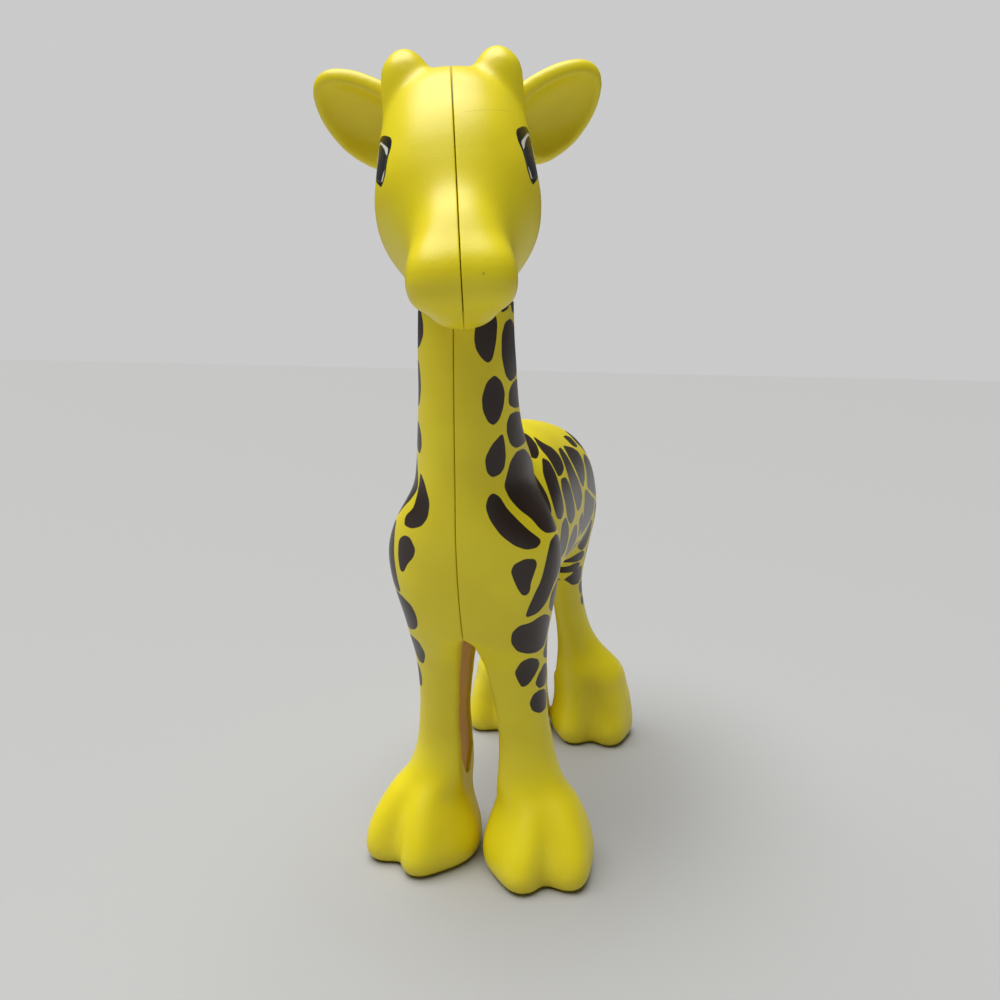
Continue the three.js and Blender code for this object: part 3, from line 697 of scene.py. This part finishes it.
ink = {"spread": 0.07, "facing": 0.12, "fade": 2, "none": -2, "margin": 1, "corner": 0.17}
patches = {
    1: [
        # neck
        [(-31.6, 74.7), (-29.6, 75.3), (-29.3, 76.9), (-31.4, 76.9)],
        [(-28.7, 75.1), (-27, 74.7), (-26.4, 76.9), (-28.7, 76.9)],
        [(-36, 71.7), (-35.9, 73), (-34.8, 74.3), (-33, 75.2), (-32.3, 73.6), (-32.5, 71.5), (-33.1, 69.5),
         (-33.9, 69.1), (-34.9, 69.7), (-35.7, 70.6)],
        [(-31.3, 72.2), (-30.6, 73.6), (-29.1, 74.1), (-27.6, 73.6), (-25.2, 72.1), (-24.2, 69.8),
         (-25.6, 68), (-28.9, 66.9), (-30.2, 67.7), (-31.2, 69.8)],
        [(-32.6, 67.7), (-31.2, 67), (-30.3, 65.7), (-30.6, 64.1), (-31.4, 62.7), (-32.5, 62), (-33.5, 62.4),
         (-34.4, 63.7), (-34.6, 65.2), (-33.9, 66.9)],
        [(-28.3, 66.6), (-26.6, 67.1), (-23.6, 66.9), (-21.8, 65.4), (-22.4, 63.9), (-27.4, 63.8),
         (-29.3, 64.3), (-29.2, 65.8)],
        [(-28.9, 63.1), (-26.8, 63.3), (-23, 62.8), (-21.2, 61.4), (-22, 59.7), (-25.6, 59.2),
         (-27.4, 59.1), (-28.8, 59.6), (-29.7, 61), (-29.7, 62.2)],
        [(-23.4, 73.6), (-21.4, 72.8), (-21, 70.6), (-22.2, 69.4), (-23.2, 71)],
        [(-30.7, 61), (-30.2, 59.8), (-29.9, 58.2), (-30.2, 56.9), (-31.1, 56.2), (-32.5, 55.9),
         (-33.4, 56.5), (-33.8, 58.1), (-32.7, 59.7)],
        # shoulder
        [(-24.4, 58.7), (-22.4, 57.9), (-20, 56.5), (-17.6, 54.6), (-15.4, 52.2), (-14.3, 49.9),
         (-15.2, 48.6), (-18.2, 48.4), (-22.2, 48.7), (-23.8, 49.4), (-25.3, 50.7), (-27.6, 51.9),
         (-29.3, 53.3), (-30.2, 54.7), (-29.5, 56.1), (-28.7, 57.6), (-27.1, 58.6)],
        [(-32.4, 54), (-31.2, 53.5), (-30.1, 52.1), (-28.2, 50.6), (-26.3, 49.3), (-23.8, 48), (-25, 47.3),
         (-27.1, 47.2), (-29.2, 47.8), (-31.4, 49.1), (-33, 50.9), (-33.6, 52.4), (-33.2, 53.5)],
        [(-29.5, 44.6), (-29.1, 45.4), (-27.4, 46), (-25.5, 45.9), (-25, 45.3), (-25.5, 44.2),
         (-26, 43), (-26, 41.8), (-26.7, 41.4), (-27.4, 41.6), (-28.2, 42.4), (-29, 43.6)],
        [(-21.5, 47.7), (-18.9, 48.1), (-17.3, 47.5), (-16.8, 45.4), (-17.7, 43.9), (-19, 43.2),
         (-20.6, 41.9), (-21.7, 39.9), (-23.3, 38.7), (-25.9, 38.3), (-25.7, 39.6), (-24.8, 41.6),
         (-24, 42.8), (-23.3, 44.8), (-22.7, 46.2)],
        [(-18.9, 42.4), (-20.6, 40.9), (-20.4, 38.9), (-18.6, 37.8), (-16.5, 38.7), (-15, 40.8),
         (-15.5, 42.9), (-17.4, 43.3)],
        [(-21.4, 38.1), (-19.5, 37.5), (-18.3, 36.5), (-18.5, 34.6), (-19.3, 33.2), (-21.2, 32.7),
         (-23.3, 32.8), (-25.7, 33.4), (-27.3, 34.8), (-27.6, 36.3), (-26.6, 37.2), (-24.4, 37.4),
         (-23, 37.9)],
        [(-18.2, 34), (-16.6, 34.5), (-15.5, 32.6), (-16.5, 30.8), (-18.3, 31.1), (-19.2, 32.1)],
        [(-24.2, 31.6), (-22.7, 32), (-20.6, 31.5), (-19.7, 30.5), (-20.5, 29.2), (-21.7, 27.9),
         (-22.8, 27.6), (-23.8, 28.7), (-24.7, 30)],
        [(-18.2, 30.3), (-16.4, 29.7), (-15.8, 28), (-17.1, 26.9), (-19.1, 27), (-20.1, 27.8), (-19.6, 29)],
        [(-18.9, 26.6), (-17, 26.3), (-15.8, 25), (-16.2, 23.5), (-18.2, 23.2), (-20, 23.8), (-20.8, 25),
         (-20.3, 26.2)],
        # flank
        [(-18.6, 58.2), (-17.2, 59.3), (-15.4, 59.4), (-14.3, 59), (-13.8, 57.9), (-14.3, 56.9),
         (-15.6, 56.3), (-17.5, 56.9)],
        [(-13.3, 58.8), (-11.6, 57.8), (-9.2, 56.9), (-7.8, 55.6), (-7.8, 54.2), (-9.4, 53.6), (-10.8, 53.6),
         (-11.4, 54.9), (-12.2, 56.2), (-13.4, 57.4)],
        [(-14.1, 56.3), (-12.4, 55.7), (-11.5, 54.2), (-11.2, 52.6), (-10.7, 50.8), (-10.4, 49.2),
         (-11.4, 48.2), (-12.7, 48.5), (-13.5, 50), (-14.4, 52.2), (-15, 54.4)],
        [(-7.3, 56.4), (-5.3, 56.5), (-4.3, 55.2), (-3.1, 52.6), (-1.5, 50.4), (-0.9, 48.7), (-2.4, 47.3),
         (-4.2, 47.4), (-5.7, 49.6), (-6.8, 51.8), (-7.1, 53.7)],
        [(-3.7, 56.5), (-1.2, 56), (1.6, 55.4), (4.3, 54.3), (4.1, 52.6), (2.3, 51), (0.1, 49.8),
         (-1.3, 51), (-2.5, 53.3), (-3.5, 54.9)],
        [(0.4, 57.2), (3.4, 57), (6.2, 56.4), (6.7, 55.1), (4.4, 55.1), (2, 55.8)],
        [(-10.1, 53.1), (-8.1, 53), (-7.1, 51.7), (-6.1, 49.3), (-5.4, 47.2), (-7.2, 46.3), (-9, 47.5),
         (-9.8, 50.1), (-10.4, 51.8)],
        [(5.4, 53.1), (8.4, 53.5), (12, 52.2), (15.2, 49.6), (15.9, 46.6), (14.4, 45.1), (10.6, 46.1),
         (6.6, 47.7), (2.8, 49.3), (4.3, 51.2)],
        [(0.8, 49.3), (3, 48.7), (5.1, 47.5), (9.6, 45.7), (12.3, 44.7), (12.1, 42.9), (9.5, 42.1),
         (5.6, 41.5), (3, 41.3), (1.2, 43.6), (0.3, 46.4)],
        [(-11.3, 47.4), (-9.8, 48.1), (-8.4, 46.4), (-7.9, 44.6), (-8.1, 42.5), (-9.3, 41.8), (-10.7, 43.2),
         (-11.5, 45.2)],
        [(-5.8, 45.4), (-3.9, 45.4), (-2.3, 43.6), (-0.7, 41.6), (-2.6, 40.5), (-5.2, 40.5), (-6.9, 41.1),
         (-7.3, 43.6)],
        [(-2.4, 45.6), (-0.5, 46.3), (0.6, 44.9), (1.7, 42.8), (0.8, 41.7), (-0.9, 43.1)],
        [(-15.6, 47.5), (-13.2, 47.5), (-12.3, 45.4), (-12.1, 43), (-13.4, 41.5), (-14.4, 42.2),
         (-14.7, 43.8), (-16, 44.8)],
        [(-14.1, 40.3), (-11.4, 40.7), (-9.5, 40.4), (-8.7, 38.6), (-9.8, 36.7), (-12.4, 36.3),
         (-14.3, 37.6)],
        [(-7.7, 39.9), (-5, 39.3), (-2.4, 39.3), (-1.5, 37.6), (-3.4, 36.1), (-6.2, 35.9), (-7.9, 37.4)],
        [(-0.6, 40.4), (1.8, 40.3), (4.6, 40.3), (5.5, 38.4), (3.8, 36.7), (1, 36.3), (-0.7, 37.8)],
        # rump and thigh
        [(8.4, 57.1), (11.4, 56.7), (14.5, 55.7), (16.7, 53.6), (16.1, 51.8), (13.2, 52.7), (10.2, 54.3),
         (7.9, 55.3)],
        [(17.6, 52.3), (19.7, 50.4), (20.9, 47.6), (19.7, 45.3), (17.2, 45.7), (16.5, 48.4), (16.6, 50.6)],
        [(21.4, 52.1), (23.5, 50.6), (24.9, 47.6), (24.5, 44.9), (22.6, 45.5), (22.1, 48.2), (21.1, 50.2)],
        [(13.8, 43.6), (16.4, 44.1), (19, 43.7), (20.3, 41.2), (18.8, 38.5), (16.2, 38.3), (14.6, 39.8),
         (14.8, 41.6)],
        [(21.6, 43.5), (23.5, 42.4), (23.7, 39.4), (22.4, 36.7), (20.5, 37.3), (20.3, 39), (21.4, 41.2)],
        [(15.4, 37), (17.4, 37.3), (18.9, 36), (18.5, 33.3), (16.6, 32.5), (15, 33.8), (14.8, 35.6)],
        [(20, 35.7), (21.7, 35), (22.1, 32.6), (20.6, 30.5), (18.9, 31.6), (19.3, 33.6)],
        [(12, 36.3), (10.5, 37.8), (9.7, 39.6), (10.1, 41.1), (11.8, 41.7), (13.5, 41.1), (14, 39.2),
         (13.9, 37.4), (13.1, 36.3)],
        [(10.3, 34.6), (11.4, 35.6), (12.8, 36), (13.9, 35.2), (13.4, 34.3), (11.8, 34.2)],
        [(10.5, 33.3), (12.2, 34), (13.3, 33.6), (12.6, 32.5), (11.2, 32.4)],
        [(11.7, 31.2), (12.3, 32.3), (13.9, 33.1), (14.7, 32), (15.3, 30.6), (14.2, 29.8), (12.8, 29.8)],
        [(14.3, 29.3), (15.4, 30), (16.4, 29.2), (16.3, 27.9), (14.9, 27.3)],
        [(14.9, 26.9), (15.9, 27.3), (16.3, 26), (15.4, 25.2), (14.8, 25.9)],
        [(17.5, 31.3), (18.7, 30.4), (18.9, 28.2), (17.6, 26.7), (16.9, 28)],
    ],
}
# the other side where it is seen
patches[-1] = [
    [(-31.6, 76.9), (-32.8, 74.9), (-33.6, 73.4), (-33.5, 72), (-32.2, 70.9), (-30.2, 70.5), (-27.6, 71.2),
     (-26.4, 73.6), (-27.4, 76.9)],
    [(-31.4, 69.1), (-32, 67.6), (-32.1, 66), (-31.2, 64.1), (-29.2, 63.7), (-26.2, 64.6), (-24.8, 66.8),
     (-26, 68.8), (-29.4, 69.4)],
    [(-30.8, 61.8), (-31.8, 60.5), (-31.8, 59.1), (-30.7, 58.1), (-29, 58.8), (-25.8, 60), (-24.6, 61.6),
     (-26.4, 62.5)],
    [(-31, 56), (-32.5, 54.9), (-34, 52.6), (-33.7, 50.7), (-32.6, 49.6), (-30.6, 49.1), (-28.4, 49.3),
     (-28.2, 50.3), (-30.3, 51.5), (-30.7, 53.5)],
    [(-30.1, 55.1), (-30.3, 53.8), (-28.4, 52.4), (-25.9, 51.2), (-23.8, 50), (-21, 49.5), (-17.4, 49.1),
     (-14.8, 49.9), (-15.4, 52.4), (-17.8, 55), (-20.4, 57), (-23, 58.5), (-26, 58.8), (-28.8, 57.6)],
    [(-27.2, 47.3), (-28.7, 48), (-30.2, 47.9), (-31.2, 46.6), (-30.6, 45.5), (-29.1, 44.5), (-28, 43.3),
     (-27.1, 43.4), (-26.9, 45)],
    [(-24.4, 49.4), (-25.4, 47.2), (-25.4, 44.5), (-25.6, 42.3), (-25.8, 40.4), (-24.3, 40.2), (-21.8, 41.2),
     (-19.8, 43.2), (-18.2, 45.6), (-18, 47.8), (-19.6, 48.6), (-22.4, 48.9)],
    [(-22.8, 40.1), (-25.8, 39.8), (-27.9, 38.9), (-28.2, 37.6), (-27.5, 36.1), (-26.2, 35.3), (-24.4, 34.9),
     (-21.8, 34.9), (-19.2, 36.2), (-18.8, 38.2), (-20.6, 39.7)],
    [(-23.9, 33.7), (-25.5, 33.3), (-25.3, 31.8), (-24.3, 30.7), (-22.8, 29.5), (-21.3, 29.8),
     (-20.3, 31.2), (-20.8, 32.9), (-22.4, 33.8)],
    [(-20.8, 28.7), (-20.9, 27.3), (-20.3, 25.8), (-18.6, 25.3), (-17.1, 26.6), (-17.4, 28.3), (-19, 29.1)],
    [(-18.6, 33.7), (-17, 34.3), (-15.7, 32.4), (-16.6, 30.5), (-18.5, 31.1)],
]
# and the rest of it taken from this side, a little higher
hidden = {"rise": 0.4, "behind": -18.5, "above": 35, "rear": 9}
for outline in patches[1]:
    rounds, heights = zip(*outline)
    if min(rounds) > hidden["rear"] or min(rounds) > hidden["behind"] and max(heights) > hidden["above"]:
        patches[-1].append([(along, height + hidden["rise"]) for along, height in outline])

# The outlines run round the chest and neck as y + x, and round the rump as y - x
wrap = {
    "turnPlaces": (-22, 26),
    "turns": (1, -0.7),
    "neckEnd": -20,
    "neckHeights": (57, 61),
    "neckRound": 2,
}


def unroll(x, y, z):
    turn = np.interp(y, wrap["turnPlaces"], wrap["turns"])
    depth, top = body["chestDepth"], stance["neckTop"]
    heights, fronts, backs, halves = (np.array(column) for column in zip(*trunkShares))
    share = z / top
    ends = np.interp(share, heights, fronts) + np.interp(share, heights, backs)
    middle = frontLine + depth * ends / 2
    half = np.interp(share, heights, halves) * body["shoulderWidth"] / 2
    nape = (y > middle) & (y < wrap["neckEnd"])
    behind = np.where(nape, np.interp(z, wrap["neckHeights"], (0, 1)), 0)
    return y + x * turn + wrap["neckRound"] * behind * np.maximum(0, half - x)


def roundOutline(outline):
    # cuts the corners twice
    points = np.array(outline, float)
    for _ in range(2):
        after = np.roll(points, -1, axis=0)
        step = (after - points) * ink["corner"]
        points = np.stack((points + step, after - step), 1).reshape(-1, 2)
    return points


def inkField(points, outlines):
    # distance from each point to the edge of the nearest patch, above zero inside it
    field = np.full(len(points), float(ink["none"]))
    for outline in outlines:
        a = roundOutline(outline)
        b = np.roll(a, -1, axis=0)
        low, high = a.min(0) - ink["margin"], a.max(0) + ink["margin"]
        near = np.nonzero(((points > low) & (points < high)).all(1))[0]
        p = points[near][:, None, :]
        run = (b - a)[None]
        share = np.clip(((p - a) * run).sum(2) / (run ** 2).sum(2), 0, 1)
        away = np.linalg.norm(p - a - share[..., None] * run, axis=2).min(1)
        rising = (a[:, 1] > p[..., 1]) != (b[:, 1] > p[..., 1])
        level = np.where(run[..., 1] == 0, 1, run[..., 1])
        crossing = a[:, 0] + (p[..., 1] - a[:, 1]) * run[..., 0] / level
        inside = (rising & (p[..., 0] < crossing)).sum(1) % 2 == 1
        field[near] = np.maximum(field[near], np.where(inside, away, -away) + ink["spread"])
    return field


def printPatches(made, sideSign):
    x, y, z = readPoints(made, "co").T
    facing = readPoints(made, "normal")[:, 0] * sideSign + ink["facing"]
    chart = np.stack((unroll(x * sideSign, y, z), z), 1)
    writeField(made, "ink", np.minimum(inkField(chart, patches[sideSign]), facing * ink["fade"]))


bodySkin = cutBody(buildBody())
print("body skin", len(bodySkin.data.polygons))

patched = Plastic("patchedPlastic", **yellow)
patched.print(patched.field("ink"), **brown)
patchedPlastic = patched.done()
for sideSign, side in ((1, "left"), (-1, "right")):
    shell = halve(bodySkin, sideSign, "body_half_" + side)
    printPatches(shell, sideSign)
    finishPiece(shell, "body", "body_shell_" + side, toFrame, patchedPlastic)
bpy.data.objects.remove(bodySkin)
# the cover plastic carries painted shade: its amber is darker than the strips' own more orange yellow
shadedAmberPlastic = Plastic("shadedAmberPlastic", **amberWithShade).done()
for spec in arches:
    far = arch["recess"] + arch["thickness"]
    strip = coverStrip(spec, arch["recess"], far, 0, spec["name"], arch["edge"])
    finishPiece(strip, "body", spec["node"], toFrame, shadedAmberPlastic)
print("body made")

# Head, shaped facing -Y about the swivel point and then turned

head = {
    "length": 31.2,
    "width": 18.1,
    "depth": 19.6,
    "faceSlope": 50,
    "faceStart": (0, 3.6, 22.7),
    "skull": (17.2, 15.6, 17.6),
    "skullRise": 16.6,
    "muzzleWidth": 11.5,
    "muzzleHeight": 8.2,
    "muzzleLength": 8.6,
    "muzzleForward": 14,
    "muzzleRise": 2.4,
    "bridgeSlope": 55,
    "bridgeLength": 12,
    "bridgeWidth": 10.4,
    "bridgeDepth": 7.2,
    "bridgeStart": (0, -9.2, 11.1),
    "hornSpacing": 10.1,
    "hornDiameter": 4.8,
    "hornLength": 9,
    "hornTop": 27.5,
    "hornForward": 2,
    "collarRadius": 5.5,
    "collarHeight": 9,
    "neckRoom": 6.8,
    "neckCut": 30,
    "overlap": 0.3,
    "voxel": 0.25,
    "blendRounds": 30,
    "bridgeRounds": 192,
    "bridgeLow": (-9.5, -27, 1.4),
    "bridgeHigh": (9.5, -6, 20),
    "bridgeFade": 5,
}
# place along the face, under and over of the head's depth, half of the head's width
headShares = [
    (0, -0.02, 0.12, 0.22), (0.025, -0.14, 0.235, 0.5), (0.08, -0.27, 0.35, 0.74),
    (0.17, -0.42, 0.42, 0.88), (0.28, -0.53, 0.43, 0.95), (0.4, -0.6, 0.42, 0.985),
    (0.51, -0.61, 0.37, 1), (0.61, -0.56, 0.3, 0.85), (0.7, -0.49, 0.245, 0.67),
    (0.78, -0.41, 0.215, 0.55), (0.86, -0.34, 0.19, 0.52), (0.93, -0.27, 0.12, 0.42),
    (0.975, -0.19, 0.05, 0.3), (1, -0.12, -0.02, 0.15),
]
# drop below the tip of the horn's length, radius of the knob's
hornShares = [
    (1.3, 1.12), (0.9, 1.16), (0.6, 1.18), (0.4, 1.18), (0.27, 1.13), (0.2, 1.06), (0.13, 0.86),
    (0.05, 0.58), (0, 0.25),
]
# place across as a share of half the muzzle's width, girth as a share of its middle
muzzleShares = [
    (-1, 0.12), (-0.985, 0.36), (-0.93, 0.6), (-0.83, 0.78), (-0.68, 0.9), (-0.48, 0.98),
    (-0.25, 1), (0, 0.985), (0.25, 1), (0.48, 0.98), (0.68, 0.9), (0.83, 0.78), (0.93, 0.6),
    (0.985, 0.36), (1, 0.12),
]

# The nose bridge widens down into the muzzle: place along it, under and over of its depth, half of
# its width
bridgeShares = [
    (-0.25, -0.3, 0.17, 0.22), (0, -0.45, 0.44, 0.46), (0.25, -0.5, 0.5, 0.68),
    (0.5, -0.5, 0.53, 0.88), (0.7, -0.5, 0.46, 1), (0.87, -0.45, 0.33, 0.98), (1, -0.3, 0.12, 0.72),
]


def slopeAxes(degrees):
    # down the face, across it and out of it
    slope = math.radians(degrees)
    return (
        (0, -math.cos(slope), -math.sin(slope)),
        (1, 0, 0),
        (0, -math.sin(slope), math.cos(slope)),
    )


def faceRows(shares, length, depth, width):
    # rings from shares of the three measures
    return [
        (place * length, low * depth, high * depth, half * width / 2, 0)
        for place, low, high, half in shares
    ]


def buildHead():
    bm = bmesh.new()
    rows = faceRows(headShares, head["length"], head["depth"], head["width"])
    addSkin(bm, rows, slopeAxes(head["faceSlope"]), head["faceStart"], power=squareness)
    rows = faceRows(bridgeShares, head["bridgeLength"], head["bridgeDepth"], head["bridgeWidth"])
    addSkin(bm, rows, slopeAxes(head["bridgeSlope"]), head["bridgeStart"], power=squareness)
    addBall(bm, [across / 2 for across in head["skull"]], (0, 0, head["skullRise"]))
    addRod(bm, head["collarRadius"], head["overlap"], head["collarHeight"], (0, 0, 0), swivelAxis)
    rows = []
    for place, girth in muzzleShares:
        deep = girth * head["muzzleHeight"] / 2
        low, high = head["muzzleRise"] - deep, head["muzzleRise"] + deep
        half = girth * head["muzzleLength"] / 2
        rows.append((place * head["muzzleWidth"] / 2, low, high, half, -head["muzzleForward"]))
    addSkin(bm, rows, ((1, 0, 0), (0, 1, 0), (0, 0, 1)), power=squareness)
    middle = -head["hornForward"]
    for side in (head["hornSpacing"] / 2, -head["hornSpacing"] / 2):
        rows = []
        for drop, radius in hornShares:
            girth = radius * head["hornDiameter"] / 2
            top = head["hornTop"] - drop * head["hornLength"]
            rows.append((top, middle - girth, middle + girth, girth, side))
        addSkin(bm, rows, upward, sides=40)
    skin = toObject(bm, "headSkin")
    remesh(skin, head["voxel"])
    soften(skin, head["blendRounds"])
    soften(skin, head["bridgeRounds"], head["bridgeLow"], head["bridgeHigh"], head["bridgeFade"])
    bm = bmesh.new()
    addRod(bm, head["neckRoom"], -head["neckCut"], head["overlap"], (0, 0, 0), swivelAxis)
    return cut(skin, toObject(bm, "neckTool"))


# Ears: a cupped leaf with a thick rim and a fleshy root

ear = {
    "length": 12.4,
    "width": 9,
    "thickness": 3.6,
    "cupDepth": 2.4,
    "cupDrop": 0.3,
    "rim": 1.05,
    "reach": 11.4,
    "skew": 0.6,
    "rise": 22.4,
    "setback": 3.4,
    "lean": 51,
    "fan": 24,
    "voxel": 0.2,
    "blendRounds": 26,
}
# place along the ear, its edge towards the head and away from it, thickness
earShares = [
    (-0.56, 0.32, 0.5, 0.3), (-0.5, 0.66, 0.8, 0.62), (-0.4, 0.98, 1, 0.88), (-0.24, 1.12, 1.12, 1),
    (-0.06, 1.07, 1.15, 1), (0.1, 0.95, 1.06, 1), (0.24, 0.8, 0.91, 0.94), (0.36, 0.6, 0.69, 0.8),
    (0.44, 0.41, 0.47, 0.62), (0.48, 0.24, 0.28, 0.44), (0.5, 0.1, 0.1, 0.24),
]


def buildEar(sideSign, name):
    lean, fan = math.radians(ear["lean"]), math.radians(ear["fan"])
    along = Vector((sideSign * math.sin(lean), 0, math.cos(lean)))
    out = Vector((sideSign * math.cos(fan), math.sin(fan), 0))
    front = out.cross(along).normalized()
    if front.y > 0:
        front.negate()
    wide = front.cross(along) * -sideSign
    middle = Vector((sideSign * ear["reach"] + ear["skew"], ear["setback"], ear["rise"]))
    axes = (along, wide, front)
    half = ear["width"] / 2
    rim = 1 - ear["rim"] / half
    face = ear["thickness"] / 2
    bm = bmesh.new()
    rows = []
    cup = []
    for place, inner, outer, thick in earShares:
        breadth = (inner + outer) * half / 2
        side = (outer - inner) * half / 2
        deep = thick * face
        rows.append((place * ear["length"], -deep, deep, breadth, side))
        hollow = ear["cupDepth"] * breadth / half
        far = place * (ear["length"] - 2 * ear["rim"])
        cup.append((far, face - hollow, face + hollow, breadth * rim, side + ear["cupDrop"]))
    addSkin(bm, rows, axes, middle, sides=64)
    leaf = toObject(bm, name)
    bm = bmesh.new()
    addSkin(bm, cup, axes, middle, sides=64)
    cut(leaf, toObject(bm, "cupTool"))
    remesh(leaf, ear["voxel"])
    return soften(leaf, ear["blendRounds"])


# Printed eyes, as place towards the nose and height on the side of the head: the dark outline, the
# white within it and the pupil over the white
eyePrint = {
    "eye": [
        (-8.6, 16.9), (-8, 17.45), (-6.5, 18), (-5, 18.25), (-3.9, 18.05), (-3.4, 17.2), (-3.6, 16),
        (-4.2, 14.8), (-5.3, 13.6), (-6.9, 12.55), (-8.1, 11.95), (-8.6, 11.6), (-9.05, 12.2), (-9.25, 13),
        (-9.15, 14), (-9, 15), (-8.95, 16),
    ],
    "eyeWhite": [
        (-8.5, 16), (-7.9, 16.4), (-6.6, 17.05), (-5.3, 17.6), (-4.4, 17.5), (-4.05, 16.8), (-4.2, 16),
        (-4.6, 15), (-5.1, 13.9), (-6, 13.2), (-7.4, 12.7), (-8.3, 12.3), (-8.85, 12.2), (-9, 13),
        (-8.88, 14.2), (-8.7, 15.2),
    ],
    "pupil": [
        (-5.2, 17.35), (-6.7, 16.75), (-7.7, 16.1), (-8.25, 15.5), (-9.1, 14.9), (-9.2, 14), (-8.93, 13.5),
        (-8.7, 12.8), (-8.55, 12.1), (-7, 12.2), (-5.4, 13), (-5.7, 13.9), (-5.75, 14.8), (-5.45, 15.7),
        (-4.95, 16.5), (-4.5, 17),
    ],
}
eyeInk = {
    "outline": {"ink": (0.008, 0.006, 0.003), "gloss": 0.28},
    "white": {"ink": (0.72, 0.72, 0.64), "gloss": 0.3},
    "pupil": {"ink": (0.012, 0.014, 0.013), "gloss": 0.26},
}
eyeSoft = 0.04
# the eye of the giraffe's right side is printed a little shorter about its middle
eyeMiddle = 15
eyeTall = {1: 1, -1: 0.88}


def printEyes(made, sideSign):
    x, y, z = readPoints(made, "co").T
    outside = readPoints(made, "normal")[:, 0] * sideSign
    chart = np.stack((y, eyeMiddle + (z - eyeMiddle) / eyeTall[sideSign]), 1)
    for name, outline in eyePrint.items():
        field = np.minimum(inkField(chart, [outline]) - ink["spread"], outside * ink["fade"])
        writeField(made, name, field)


# A speck on the muzzle and a hairline on the forehead
speck = {
    "at": (2.2, -18.3, 2.1),
    "edge": (0.26, 0.08),
    "share": 0.6,
    "ink": (0.2, 0.11, 0.01),
    "gloss": 0.5,
}
hairline = {
    "slope": 0.12,
    "height": 18.62,
    "edge": (0.07, 0.02),
    "start": (0.8, 1.4),
    "end": (6.4, 5.2),
    "share": 0.3,
    "ink": (0.4, 0.3, 0.02),
    "gloss": 0.6,
}


def markFace(face):
    distance = {"operation": "DISTANCE"}
    away = face.add("ShaderNodeVectorMath", distance, output=1, i0=face.place, i1=speck["at"])
    face.print(away.step(*speck["edge"]) * speck["share"], speck["ink"], speck["gloss"])
    across = face.add("ShaderNodeSeparateXYZ", i0=face.place)
    height = face.add("ShaderNodeSeparateXYZ", output=2, i0=face.place)
    level = height - across * hairline["slope"] - hairline["height"]
    ends = across.step(*hairline["start"]) * across.step(*hairline["end"])
    line = level.size().step(*hairline["edge"]) * ends
    face.print(line * hairline["share"], hairline["ink"], hairline["gloss"])


def printFace(face):
    white = face.field("eyeWhite", eyeSoft)
    face.print(face.field("eye", eyeSoft), **eyeInk["outline"])
    face.print(white, **eyeInk["white"])
    face.print(face.field("pupil", eyeSoft) * white, **eyeInk["pupil"])


face = Plastic("facePlastic", **yellow)
markFace(face)
printFace(face)
facePlastic = face.done()
earPlastic = Plastic("earPlastic", **yellow).done()

headSkin = buildHead()
print("head skin", len(headSkin.data.polygons))
for sideSign, side in ((1, "left"), (-1, "right")):
    shell = halve(headSkin, sideSign, "head_half_" + side)
    printEyes(shell, sideSign)
    finishPiece(shell, "head", "head_shell_" + side, headToFrame, facePlastic)
    leaf = buildEar(sideSign, "ear_leaf_" + side)
    finishPiece(leaf, "head", "ear_" + side, headToFrame, earPlastic)
bpy.data.objects.remove(headSkin)
print("head made")

# The post is hidden in the neck and keeps its solid
milky = {"scale": 220, "thin": (0.45, 0.43, 0.35), "thick": (0.52, 0.5, 0.42), "dull": 0.45, "spread": 0.1}
natural = Finish("naturalPlastic")
cloud = natural.noise(natural.add("ShaderNodeTexCoord", output=3), milky["scale"])
tone = natural.mix(cloud, (*milky["thin"], 1), (*milky["thick"], 1))
natural.set(Base_Color=tone, Roughness=cloud * milky["spread"] + milky["dull"])
post = bpy.data.objects["neck_swivel_post"]
post.data.materials.clear()
post.data.materials.append(natural.material)
print("materials made")

# Stage

stage = {
    "floorPaint": (0.4, 0.4, 0.395),
    "floorDull": 0.7,
    "floorSize": 2,
    "sky": (0.8, 0.8, 0.8),
    "skyLight": 0.14,
    "skySeen": 0.6,
    "keyEnergy": 4.3,
    "keySpread": 60,
    "keyPlace": (-0.1, -0.06, 0.6),
    "keyTarget": (0, 0, 0.05),
}


def addStage():
    paint = Finish("floorPaint").set(Base_Color=(*stage["floorPaint"], 1), Roughness=stage["floorDull"])
    bm = bmesh.new()
    bmesh.ops.create_grid(bm, x_segments=1, y_segments=1, size=stage["floorSize"])
    floor = toObject(bm, "floor")
    floor.data.materials.append(paint.material)
    world = bpy.data.worlds.new("studio")
    scene.world = world
    world.use_nodes = True
    # the sky gives a low soft light and looks paler to the camera alone
    sky = world.node_tree.nodes["Background"]
    path = world.node_tree.nodes.new("ShaderNodeLightPath")
    glow = world.node_tree.nodes.new("ShaderNodeMath")
    glow.operation = "MULTIPLY_ADD"
    world.node_tree.links.new(path.outputs["Is Camera Ray"], glow.inputs[0])
    glow.inputs[1].default_value = stage["skySeen"]
    glow.inputs[2].default_value = stage["skyLight"]
    world.node_tree.links.new(glow.outputs[0], sky.inputs[1])
    sky.inputs[0].default_value = (*stage["sky"], 1)
    key = bpy.data.lights.new("key", "SUN")
    key.energy = stage["keyEnergy"]
    key.angle = math.radians(stage["keySpread"])
    lamp = bpy.data.objects.new("key", key)
    scene.collection.objects.link(lamp)
    lamp.location = stage["keyPlace"]
    aim = Vector(stage["keyTarget"]) - lamp.location
    lamp.rotation_euler = aim.to_track_quat("-Z", "Y").to_euler()


addStage()
scene.view_settings.view_transform = "Standard"
